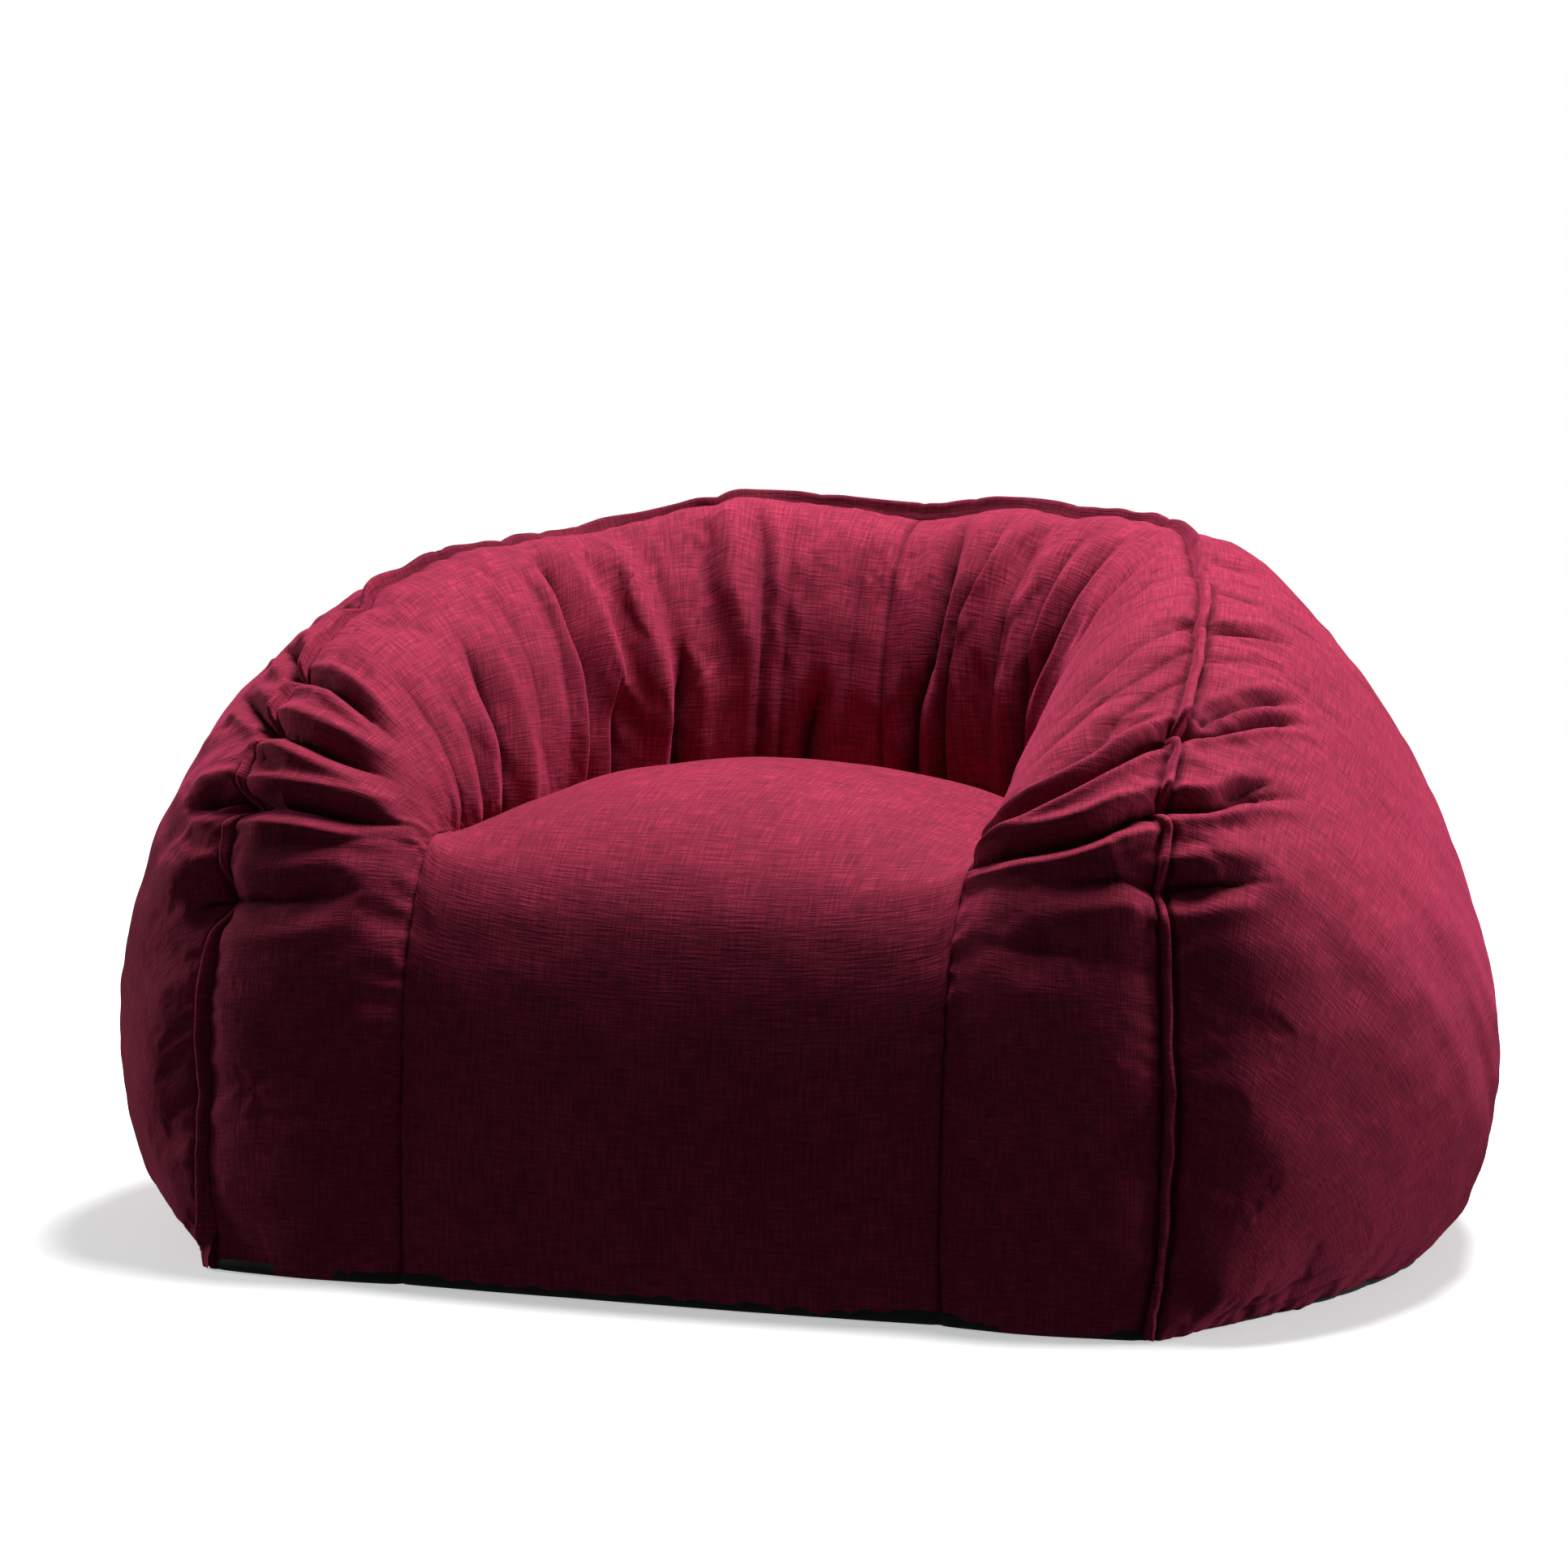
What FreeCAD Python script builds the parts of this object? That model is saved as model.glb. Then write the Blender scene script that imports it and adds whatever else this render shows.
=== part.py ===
"""Low bean bag armchair: a seat bag wrapped by a horseshoe-shaped arm and back bag, in one cover.

Frame: millimetres, +Z up, front towards -Y, origin on the floor in the middle of the outline.

The stuffed outline is one family of nested forms, each a loft through level outlines (a shallow front
arc, two side arcs and a back half circle). The same outline, inset a little further each time, bounds
the cover, the two liner bags and their bead fillings. Vertical U-shaped prisms cut the layers:

  seat prism   the seam between the centre strip and the gathered inner band, the inside partition,
               and, leaning outwards above the arms, the hollow that a person sits in
  rim prism    the raised seam from the floor, up over the arms and round the top of the back

The zip round the foot of the back is turned about one upright axis, so its slider can follow it.
"""

import FreeCAD, Part
import math
import os

import Sketcher

doc = FreeCAD.newDocument("BeanBagChair")
nodes = []

# ---------------------------------------------------------------- driving dimensions

DIMENSIONS = {
    # the rim seam in plan: straight sides, then half an ellipse round the back
    "rim_half_width": 434,
    "rim_centre_y": -400,
    "rim_depth": 610,
    "front_reach": -600,
    # the seat in plan: straight sides, then half a circle at the back
    "seat_half_width": 250,
    "seat_arc_y": -190,
    # the seat's crown is the top of a large ball
    "crown_radius": 600,
    "crown_y": -240,
    "crown_height": 430,
    # the hollow's wall stands straight up from the crease, then leans out to the rim
    "prism_bottom": -10,
    "lean_from": 480,
    "lean_angle": 38,
    "prism_top": 700,
    # seams between the outer panels
    "side_seam_y": 130,
    # layers, counted inwards from the outside of the cover
    "cover_thickness": 2.5,
    "liner_outside": 4,
    "liner_inside": 5,
    "fill_outside": 6,
    "layer_clearance": 0.5,
    "welt_height": 7,
    "welt_half_width": 3,
    "partition_thickness": 1.5,
    # undersides of the layers
    "base_thickness": 3,
    "liner_floor": 7,
    "liner_inner_floor": 8,
    "fill_floor": 9,
    # zip round the foot of the back, turned about an upright axis
    "zip_axis_y": -148,
    "zip_radius": 591,
    "zip_height": 42,
    "zip_slope": 30,
    "zip_half_angle": 44,
    "zip_margin_angle": 2,
    "gap_half": 0.6,
    "teeth_width": 3,
    "teeth_thickness": 2.4,
    "tape_width": 15,
    "tape_thickness": 1,
    "window_half_height": 15.5,
    "groove_depth": 5,
    "stop_angle": 0.5,
    "stop_thickness": 3.4,
    "slider_park_angle": -42.6,
    "slider_length": 14,
    "slider_width": 10,
    "slider_wall": 1.2,
    "slider_play": 0.4,
    "web_half": 0.25,
    "bail_window_length": 4.6,
    "bail_window_height": 2.6,
    "bail_thickness": 1.2,
    "bail_width": 1.6,
    "pull_length": 27,
    "pull_width": 8,
    "pull_thickness": 1.5,
    "pull_pin_radius": 0.8,
    "pull_hole_length": 5.8,
    "pull_hole_width": 3.4,
    # straight zips under the liner bags
    "liner_zip_length": 400,
    "liner_tape_width": 12,
    "liner_teeth_width": 2.6,
    "seat_liner_zip_y": -250,
    "back_liner_zip_y": 250,
    "liner_slider_length": 12,
    "recess_height": 3,
    # blank care label sewn in at the foot of the back
    "label_standoff": 2,
    "label_thickness": 0.6,
    "label_length": 44,
    "label_half_angle": 1.8,
    "label_turn": 54,
}

# Level outlines from the floor up: height, x and y of the front corners, y of the front's middle,
# half the greatest width, y of the back.
LEVEL_WORDS = ("height", "corner_x", "corner_y", "front_y", "half_width", "back_y")
LEVELS = [
    (0, 434, -462, -468, 560, 412),
    (60, 434, -459, -470, 600, 450),
    (130, 434, -455, -473, 621, 466),
    (240, 434, -449, -475, 625, 475),
    (350, 434, -421, -446, 594, 466),
    (440, 433.8, -380, -405, 545, 438),
    (520, 424, -273, -290, 490, 398),
    (580, 393, -143, -155, 420, 352),
    (612, 340, -105, -113, 366, 310),
    (632, 262, -85, -90, 288, 268),
    (642, 180, -65, -68, 205, 225),
]
for number, level in enumerate(LEVELS):
    for word, value in zip(LEVEL_WORDS, level):
        DIMENSIONS[f"level{number}_{word}"] = value
TOP = f"Dims.level{len(LEVELS) - 1}_height"

sheet = doc.addObject("Spreadsheet::Sheet", "Dims")
for row, (alias, value) in enumerate(DIMENSIONS.items(), start=1):
    sheet.set(f"A{row}", alias)
    sheet.set(f"B{row}", str(value))
    sheet.setAlias(f"B{row}", alias)
doc.recompute()


def size(alias):
    """The number in the sheet's cell of that name."""
    return float(getattr(sheet, alias))


# ---------------------------------------------------------------- sketch helpers

START, END, CENTRE = 1, 2, 3
ORIGIN, Y_AXIS = -1, -2
UP = FreeCAD.Vector(0, 0, 1)
Limit = Sketcher.Constraint


def point(x, y):
    return FreeCAD.Vector(x, y, 0)


def new_body(name):
    return doc.addObject("PartDesign::Body", name)


def new_sketch(body, name, plane="XY_Plane", lift=None):
    """A sketch lying flat on one of the body's own planes, lifted off it by an expression."""
    sketch = body.newObject("Sketcher::SketchObject", name)
    support = next(f for f in body.Origin.OriginFeatures if f.Role == plane)
    sketch.AttachmentSupport = (support, [""])
    sketch.MapMode = "FlatFace"
    if lift:
        sketch.setExpression("AttachmentOffset.Base.z", lift)
    return sketch


def bind(sketch, name, limit, expression):
    """Adds a named size and ties it to the sheet."""
    sketch.addConstraint(limit)
    sketch.renameConstraint(sketch.ConstraintCount - 1, name)
    sketch.setExpression(f"Constraints.{name}", expression)


def bind_point(sketch, name, edge, end, x, y):
    """Ties one end of an edge to a place given by two expressions."""
    spot = sketch.getPoint(edge, end)
    bind(sketch, f"{name}_x", Limit("DistanceX", ORIGIN, START, edge, end, spot.x), x)
    bind(sketch, f"{name}_y", Limit("DistanceY", ORIGIN, START, edge, end, spot.y), y)


def polygon(sketch, corners):
    """A closed polygon whose corners are pairs of expressions."""
    count = len(corners)
    ring = [
        point(10 * math.cos(math.tau * k / count), 10 * math.sin(math.tau * k / count))
        for k in range(count)
    ]
    for k in range(count):
        sketch.addGeometry(Part.LineSegment(ring[k], ring[(k + 1) % count]), False)
    for k in range(count):
        sketch.addConstraint(Limit("Coincident", k, END, (k + 1) % count, START))
    for k, (x, y) in enumerate(corners):
        bind_point(sketch, f"corner{k}", k, START, x, y)


def turned_arc(centre, radius, start, end):
    """A counter-clockwise arc between two points of a circle."""
    circle = Part.Circle(point(*centre), UP, radius)
    turns = [math.atan2(y - centre[1], x - centre[0]) for x, y in (start, end)]
    return Part.ArcOfCircle(circle, *turns)


# ---------------------------------------------------------------- the stuffed outline


def outline_sketch(body, number, inset):
    """One level's outline, inset by an expression."""
    _, corner_x, corner_y, front_y, half_width, back_y = LEVELS[number]
    cell = f"Dims.level{number}_"
    lift = f"{cell}height * (1 - ({inset}) / {TOP})"
    sketch = new_sketch(body, f"{body.Name}Outline{number}", "XY_Plane", lift)
    widest_y = back_y - half_width
    rise = corner_y - front_y
    front_radius = (corner_x**2 + rise**2) / (2 * rise)
    out = half_width - corner_x
    side_radius = (out**2 + (widest_y - corner_y) ** 2) / (2 * out)
    right, left = (corner_x, corner_y), (-corner_x, corner_y)
    wide_right, wide_left = (half_width, widest_y), (-half_width, widest_y)
    side_hub = half_width - side_radius
    edges = [
        turned_arc((0, front_y + front_radius), front_radius, left, right),
        turned_arc((side_hub, widest_y), side_radius, right, wide_right),
        turned_arc((0, widest_y), half_width, wide_right, wide_left),
        turned_arc((-side_hub, widest_y), side_radius, wide_left, left),
    ]
    front, side_right, back, side_left = range(4)
    sketch.addGeometry(edges, False)
    sketch.addConstraint(Limit("Coincident", front, END, side_right, START))
    sketch.addConstraint(Limit("Tangent", side_right, END, back, START))
    sketch.addConstraint(Limit("Tangent", back, END, side_left, START))
    sketch.addConstraint(Limit("Coincident", side_left, END, front, START))
    sketch.addConstraint(Limit("Symmetric", front, START, front, END, Y_AXIS))
    sketch.addConstraint(Limit("PointOnObject", back, CENTRE, Y_AXIS))
    sketch.addConstraint(Limit("Horizontal", back, START, back, CENTRE))
    sketch.addConstraint(Limit("Horizontal", back, CENTRE, back, END))
    corner = (f"{cell}corner_x - ({inset})", f"{cell}corner_y + ({inset})")
    bind_point(sketch, "front_corner", front, END, *corner)
    bind(sketch, "half_width", Limit("Radius", back, half_width), f"{cell}half_width - ({inset})")
    bind(
        sketch,
        "widest_y",
        Limit("DistanceY", ORIGIN, START, back, CENTRE, widest_y),
        f"{cell}back_y - {cell}half_width",
    )
    rise_text = f"({cell}corner_y - {cell}front_y)"
    bind(
        sketch,
        "front_radius",
        Limit("Radius", front, front_radius),
        f"(({cell}corner_x - ({inset})) ^ 2 + {rise_text} ^ 2) / (2 * {rise_text})",
    )
    return sketch


def stuffed_outline(name, inset):
    """A smooth loft through every level's outline."""
    body = new_body(name)
    outlines = [outline_sketch(body, number, inset) for number in range(len(LEVELS))]
    loft = body.newObject("PartDesign::AdditiveLoft", f"{name}Loft")
    loft.Profile = outlines[0]
    loft.Sections = outlines[1:]
    loft.Ruled = False
    return body


# ---------------------------------------------------------------- upright prisms


def close_front(sketch, curve):
    """Joins the two ends of a back curve with straight sides and a front line."""
    right, left = sketch.getPoint(curve, START), sketch.getPoint(curve, END)
    front_right, front_left = point(right.x, -600), point(left.x, -600)
    first = sketch.addGeometry(Part.LineSegment(front_right, right), False)
    sketch.addGeometry(Part.LineSegment(left, front_left), False)
    sketch.addGeometry(Part.LineSegment(front_left, front_right), False)
    sketch.addConstraint(Limit("Coincident", first, END, curve, START))
    sketch.addConstraint(Limit("Coincident", curve, END, first + 1, START))
    sketch.addConstraint(Limit("Coincident", first + 1, END, first + 2, START))
    sketch.addConstraint(Limit("Coincident", first + 2, END, first, START))
    sketch.addConstraint(Limit("Vertical", first))
    sketch.addConstraint(Limit("Vertical", first + 1))
    sketch.addConstraint(Limit("Horizontal", first + 2))
    bind(
        sketch,
        "front_reach",
        Limit("DistanceY", ORIGIN, START, first, START, -600),
        "Dims.front_reach",
    )


def seat_plan(body, name, grow, lift):
    """The seat's U in plan, grown outwards by an expression."""
    sketch = new_sketch(body, name, "XY_Plane", lift)
    sketch.addGeometry(turned_arc((0, -190), 250, (250, -190), (-250, -190)), False)
    sketch.addConstraint(Limit("PointOnObject", 0, CENTRE, Y_AXIS))
    sketch.addConstraint(Limit("Horizontal", 0, START, 0, CENTRE))
    sketch.addConstraint(Limit("Horizontal", 0, CENTRE, 0, END))
    bind(sketch, "half_width", Limit("Radius", 0, 250), f"Dims.seat_half_width + ({grow})")
    bind(
        sketch,
        "arc_y",
        Limit("DistanceY", ORIGIN, START, 0, CENTRE, -190),
        "Dims.seat_arc_y",
    )
    close_front(sketch, 0)
    return sketch


def seat_prism(name, grow):
    """Straight up to the lean height, then leaning outwards."""
    body = new_body(name)
    lower = body.newObject("PartDesign::Pad", f"{name}Upright")
    lower.Profile = seat_plan(body, f"{name}LowerPlan", grow, "Dims.prism_bottom")
    lower.setExpression("Length", "Dims.lean_from - Dims.prism_bottom")
    upper = body.newObject("PartDesign::Pad", f"{name}Lean")
    upper.Profile = seat_plan(body, f"{name}UpperPlan", grow, "Dims.lean_from")
    upper.setExpression("Length", "Dims.prism_top - Dims.lean_from")
    upper.setExpression("TaperAngle", "Dims.lean_angle")
    return body


def rim_prism(name, grow):
    """The rim seam's plan, grown outwards by an expression, standing from floor to top."""
    body = new_body(name)
    sketch = new_sketch(body, f"{name}Plan", "XY_Plane", "Dims.prism_bottom")
    ellipse = Part.Ellipse(point(0, 210), point(434, -400), point(0, -400))
    sketch.addGeometry(Part.ArcOfEllipse(ellipse, -math.pi / 2, math.pi / 2), False)
    sketch.exposeInternalGeometry(0)
    long_axis, short_axis = 1, 2
    sketch.addConstraint(Limit("PointOnObject", 0, CENTRE, Y_AXIS))
    sketch.addConstraint(Limit("Vertical", long_axis))
    sketch.addConstraint(Limit("Horizontal", 0, START, 0, CENTRE))
    sketch.addConstraint(Limit("Horizontal", 0, CENTRE, 0, END))
    bind(
        sketch,
        "centre_y",
        Limit("DistanceY", ORIGIN, START, 0, CENTRE, -400),
        "Dims.rim_centre_y",
    )
    bind(
        sketch,
        "depth",
        Limit("Distance", long_axis, START, long_axis, END, 1220),
        f"2 * (Dims.rim_depth + ({grow}))",
    )
    bind(
        sketch,
        "width",
        Limit("Distance", short_axis, START, short_axis, END, 868),
        f"2 * (Dims.rim_half_width + ({grow}))",
    )
    close_front(sketch, 0)
    pad = body.newObject("PartDesign::Pad", f"{name}Pad")
    pad.Profile = sketch
    pad.setExpression("Length", "Dims.prism_top - Dims.prism_bottom")
    return body


# ---------------------------------------------------------------- turned and straight strips


def turned_strip(name, corners, half_angle, turn="0"):
    """A cross-section of expressions (out from the zip axis, up) turned about that axis.

    The strip spans half_angle to both sides of the back's middle, swung by a further turn.
    """
    body = new_body(name)
    sketch = new_sketch(body, f"{name}Section", "XZ_Plane")
    polygon(sketch, corners)
    revolution = body.newObject("PartDesign::Revolution", f"{name}Turn")
    revolution.Profile = sketch
    revolution.ReferenceAxis = (sketch, ["V_Axis"])
    revolution.Midplane = True
    revolution.setExpression("Angle", f"2 * ({half_angle})")
    body.Placement.Rotation = FreeCAD.Rotation(UP, 90)
    body.setExpression("Placement.Base.y", "Dims.zip_axis_y")
    body.setExpression("Placement.Rotation.Angle", f"90 + ({turn})")
    return body


def sloped(out, along):
    """A point of the zip's section: out from the cover and up along its slope."""
    lean = "Dims.zip_slope"
    return (
        f"Dims.zip_radius + ({out}) * cos({lean} * 1 deg) + ({along}) * sin({lean} * 1 deg)",
        f"Dims.zip_height - ({out}) * sin({lean} * 1 deg) + ({along}) * cos({lean} * 1 deg)",
    )


def sloped_bar(name, out_from, out_to, along_from, along_to, half_angle, turn="0"):
    """A bar that follows the zip round the foot of the back."""
    corners = [
        sloped(out_from, along_from),
        sloped(out_to, along_from),
        sloped(out_to, along_to),
        sloped(out_from, along_to),
    ]
    return turned_strip(name, corners, half_angle, turn)


def box(name, x, y, z, length, width, height):
    """A box from its lowest corner and sides, all expressions."""
    block = doc.addObject("Part::Box", name)
    sides = {"Length": length, "Width": width, "Height": height}
    for side, text in sides.items():
        block.setExpression(side, text)
    for axis, text in zip("xyz", (x, y, z)):
        block.setExpression(f"Placement.Base.{axis}", text)
    return block


def ball(name, inset):
    """The ball whose top is the seat's crown, inset by an expression."""
    crown = doc.addObject("Part::Sphere", name)
    crown.setExpression("Radius", f"Dims.crown_radius - ({inset})")
    crown.setExpression("Placement.Base.y", "Dims.crown_y")
    crown.setExpression("Placement.Base.z", "Dims.crown_height - Dims.crown_radius")
    return crown


def cut(name, base, *tools):
    """The base less each tool in turn."""
    for count, tool in enumerate(tools):
        last = count == len(tools) - 1
        step = doc.addObject("Part::Cut", name if last else f"{name}Step{count}")
        step.Base, step.Tool = base, tool
        base = step
    return base


def common(name, *shapes):
    """What all the shapes share."""
    overlap = doc.addObject("Part::MultiCommon", name)
    overlap.Shapes = list(shapes)
    return overlap


def fuse(name, *shapes):
    union = doc.addObject("Part::MultiFuse", name)
    union.Shapes = list(shapes)
    return union


def node(label, shape):
    """Marks a finished sub-part."""
    shape.Label = label
    nodes.append(shape)
    return shape


# ---------------------------------------------------------------- outlines, prisms and slabs

COVER = "Dims.cover_thickness"
GAP = "Dims.layer_clearance"
outline_outer = stuffed_outline("OutlineOuter", "0")
outline_inner = stuffed_outline("OutlineInner", COVER)
outline_liner = stuffed_outline("OutlineLiner", "Dims.liner_outside")
outline_liner_in = stuffed_outline("OutlineLinerIn", "Dims.liner_inside")
outline_fill = stuffed_outline("OutlineFill", "Dims.fill_outside")
outline_welt = stuffed_outline("OutlineWelt", "-Dims.welt_height")

WIDE = "1600"


def slab_to(name, height):
    """Everything from below the floor up to a height."""
    return box(name, f"-{WIDE} / 2", f"-{WIDE} / 2", "-50", WIDE, WIDE, f"50 + ({height})")


cover_floor = slab_to("CoverFloor", "Dims.base_thickness")
liner_floor = slab_to("LinerFloor", "Dims.liner_floor")
liner_inner_floor = slab_to("LinerInnerFloor", "Dims.liner_inner_floor")
fill_floor = slab_to("FillFloor", "Dims.fill_floor")

# ---------------------------------------------------------------- the zip's window and groove

WINDOW_ANGLE = "(Dims.zip_half_angle + Dims.zip_margin_angle)"


def zip_groove(name, depth, spare):
    """Room for the zip: a sloped channel that reaches outwards through every layer."""
    half = f"Dims.window_half_height + ({spare})"
    return sloped_bar(name, f"-({depth})", "60", f"-({half})", half, f"{WINDOW_ANGLE} + ({spare}) / 10")


zip_window = zip_groove("ZipWindow", "30", "0")
liner_groove = zip_groove("LinerGroove", "Dims.groove_depth", "1")
liner_inner_groove = zip_groove("LinerInnerGroove", "Dims.groove_depth + 1", "2")
fill_groove = zip_groove("FillGroove", "Dims.groove_depth + 2", "3")

# ---------------------------------------------------------------- the sewn cover

node("base_panel", common("BasePanel", outline_outer, cover_floor))

seat_hole = seat_prism("SeatHole", "0")
rim_plan = rim_prism("RimPlan", "0")
shell = cut("CoverShell", outline_outer, outline_inner, cover_floor)
outer_shell = cut("OuterShell", shell, rim_plan)


def side_box(name, side, y_from, y_to):
    """Everything on one side of the middle between two depths."""
    x = "0" if side > 0 else f"-{WIDE} / 2"
    return box(name, x, y_from, "-50", f"{WIDE} / 2", f"({y_to}) - ({y_from})", WIDE)


for side, word in ((-1, "left"), (1, "right")):
    front_part = side_box(f"SideFront_{word}", side, f"-{WIDE} / 2", "Dims.side_seam_y")
    node(f"outer_side_{word}", common(f"OuterSide_{word}", outer_shell, front_part))
back_part = box("BackPart", f"-{WIDE} / 2", "Dims.side_seam_y", "-50", WIDE, WIDE, WIDE)
outer_rear = common("OuterRear", outer_shell, back_part)
node("outer_back", cut("OuterBack", outer_rear, zip_window))

crown = ball("Crown", "0")
crown_inner = ball("CrownInner", COVER)
seat_top = common("SeatTop", outline_outer, seat_hole, crown)
seat_under = common("SeatUnder", outline_inner, crown_inner)
node("seat_front_panel", cut("SeatFrontPanel", seat_top, seat_under, cover_floor))

band_outer_solid = common("BandOuterSolid", outline_outer, rim_plan)
band_outer = cut("BandOuter", band_outer_solid, seat_hole, cover_floor)
band_core = cut("BandCore", outline_inner, seat_prism("BandInnerPrism", COVER))
crown_liner = ball("CrownLiner", "Dims.liner_outside")
below_crease = common(
    "BelowCrease",
    outline_liner,
    crown_inner,
    seat_prism("CreasePrism", f"{COVER} + 1.5"),
)
inner_band = cut("InnerBand", band_outer, band_core, below_crease)
for side, word in ((-1, "left"), (1, "right")):
    half = side_box(f"BandHalf_{word}", side, f"-{WIDE} / 2", f"{WIDE} / 2")
    node(f"inner_band_{word}", common(f"InnerBand_{word}", inner_band, half))

welt_shell = cut("WeltShell", outline_welt, outline_outer)
welt_outside = rim_prism("WeltOutside", "Dims.welt_half_width")
welt_inside = rim_prism("WeltInside", "-Dims.welt_half_width")
welt_ring = cut("WeltRing", welt_outside, welt_inside)
node("rim_welt", common("RimWelt", welt_shell, welt_ring))

partition_core = common(
    "PartitionCore",
    outline_liner,
    crown_liner,
    seat_prism("PartitionOutside", f"{GAP} + Dims.partition_thickness"),
)
partition_hole = seat_prism("PartitionHole", GAP)
node("partition_wall", cut("PartitionWall", partition_core, partition_hole, cover_floor))

# ---------------------------------------------------------------- liner bags and bead fillings


def under_zip(word, y):
    """The straight zip under a liner bag: its slot, tapes, teeth and slider."""
    length = "Dims.liner_zip_length"
    wide = "Dims.liner_tape_width"
    start = f"-{length} / 2"
    floor = "Dims.liner_floor"
    slot = box(f"Slot_{word}", start, f"{y} - {wide}", floor, length, f"2 * {wide}", "1")
    recess = box(
        f"Recess_{word}",
        f"{start} - 4",
        f"{y} - {wide} - 2",
        floor,
        f"{length} + 8",
        f"2 * {wide} + 4",
        "Dims.recess_height + Dims.fill_floor - Dims.liner_floor",
    )
    middle = f"{floor} + 0.5"
    teeth = "Dims.liner_teeth_width"
    tapes, rows = [], []
    for side, name in ((-1, "Front"), (1, "Rear")):
        tape_y = f"{y} - {wide}" if side < 0 else f"{y} + Dims.gap_half + {teeth}"
        tapes.append(
            box(
                f"Tape{name}_{word}",
                start,
                tape_y,
                floor,
                length,
                f"{wide} - Dims.gap_half - {teeth}",
                "1",
            )
        )
        row_y = f"{y} - Dims.gap_half - {teeth}" if side < 0 else f"{y} + Dims.gap_half"
        rows.append(
            box(
                f"Teeth{name}_{word}",
                start,
                row_y,
                f"{middle} - Dims.teeth_thickness / 2",
                length,
                teeth,
                "Dims.teeth_thickness",
            )
        )
    long = "Dims.liner_slider_length"
    reach = f"(Dims.gap_half + {teeth} - 0.2)"
    half_stack = "(Dims.teeth_thickness / 2 + Dims.slider_play)"
    plates = [
        box(
            f"Plate{name}_{word}",
            f"{start} + 2",
            f"{y} - {reach}",
            f"{middle} {offset}",
            long,
            f"2 * {reach}",
            "Dims.slider_wall",
        )
        for name, offset in (
            ("Over", f"+ {half_stack}"),
            ("Under", f"- {half_stack} - Dims.slider_wall"),
        )
    ]
    web = box(
        f"Web_{word}",
        f"{start} + 2",
        f"{y} - Dims.web_half",
        f"{middle} - {half_stack} - Dims.slider_wall / 2",
        long,
        "2 * Dims.web_half",
        f"2 * {half_stack} + Dims.slider_wall",
    )
    node(f"{word}_liner_zip_tape", fuse(f"LinerTape_{word}", *tapes))
    node(f"{word}_liner_zip_teeth", fuse(f"LinerTeeth_{word}", *rows))
    node(f"{word}_liner_zip_slider", fuse(f"LinerSlider_{word}", *plates, web))
    return slot, recess


seat_slot, seat_recess = under_zip("seat", "Dims.seat_liner_zip_y")
back_slot, back_recess = under_zip("back", "Dims.back_liner_zip_y")

seat_bag_outer = common(
    "SeatBagOuter",
    outline_liner,
    seat_prism("SeatLinerPrism", f"-{GAP}"),
    crown_liner,
)
seat_bag_inner = common(
    "SeatBagInner",
    outline_liner_in,
    seat_prism("SeatLinerPrismIn", f"-{GAP} - 1"),
    ball("CrownLinerIn", "Dims.liner_inside"),
)
seat_bag_hollow = cut("SeatBagHollow", seat_bag_inner, liner_inner_floor)
node(
    "seat_liner",
    cut("SeatLiner", seat_bag_outer, liner_floor, seat_bag_hollow, seat_slot),
)
seat_filling = common(
    "SeatFilling",
    outline_fill,
    seat_prism("SeatFillPrism", f"-{GAP} - 2"),
    ball("CrownFill", "Dims.fill_outside"),
)
node("seat_fill", cut("SeatFill", seat_filling, fill_floor, seat_recess))

LINER = "Dims.liner_outside"
back_bag_outer = cut(
    "BackBagOuter",
    outline_liner,
    seat_prism("BackLinerPrism", f"{LINER} + {GAP}"),
    liner_groove,
    liner_floor,
)
back_bag_inner = cut(
    "BackBagInner",
    outline_liner_in,
    seat_prism("BackLinerPrismIn", f"{LINER} + {GAP} + 1"),
    liner_inner_groove,
    liner_inner_floor,
)
node("back_liner", cut("BackLiner", back_bag_outer, back_bag_inner, back_slot))
node(
    "back_fill",
    cut(
        "BackFill",
        outline_fill,
        seat_prism("BackFillPrism", f"{LINER} + {GAP} + 2"),
        fill_groove,
        fill_floor,
        back_recess,
    ),
)

# ---------------------------------------------------------------- the zip round the back

HALF_TAPE = "Dims.tape_thickness / 2"
HALF_TEETH = "Dims.teeth_thickness / 2"
INNER_EDGE = "Dims.gap_half + Dims.teeth_width"
for sign, word in (("", "upper"), ("-", "lower")):
    tape = sloped_bar(
        f"Tape_{word}",
        f"-{HALF_TAPE}",
        HALF_TAPE,
        f"{sign}({INNER_EDGE})",
        f"{sign}Dims.tape_width",
        "Dims.zip_half_angle + Dims.zip_margin_angle",
    )
    node(f"zip_tape_{word}", tape)
    teeth = sloped_bar(
        f"Teeth_{word}",
        f"-{HALF_TEETH}",
        HALF_TEETH,
        f"{sign}Dims.gap_half",
        f"{sign}({INNER_EDGE})",
        "Dims.zip_half_angle",
    )
    node(f"zip_teeth_{word}", teeth)

stops = [
    sloped_bar(
        f"Stop_{word}",
        "-Dims.stop_thickness / 2",
        "Dims.stop_thickness / 2",
        "-Dims.teeth_width",
        "Dims.teeth_width",
        "Dims.stop_angle / 2",
        f"{sign} (Dims.zip_half_angle + Dims.stop_angle / 2)",
    )
    for sign, word in (("-", "closed"), ("+", "open"))
]
node("zip_stops", fuse("ZipStops", *stops))



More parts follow.
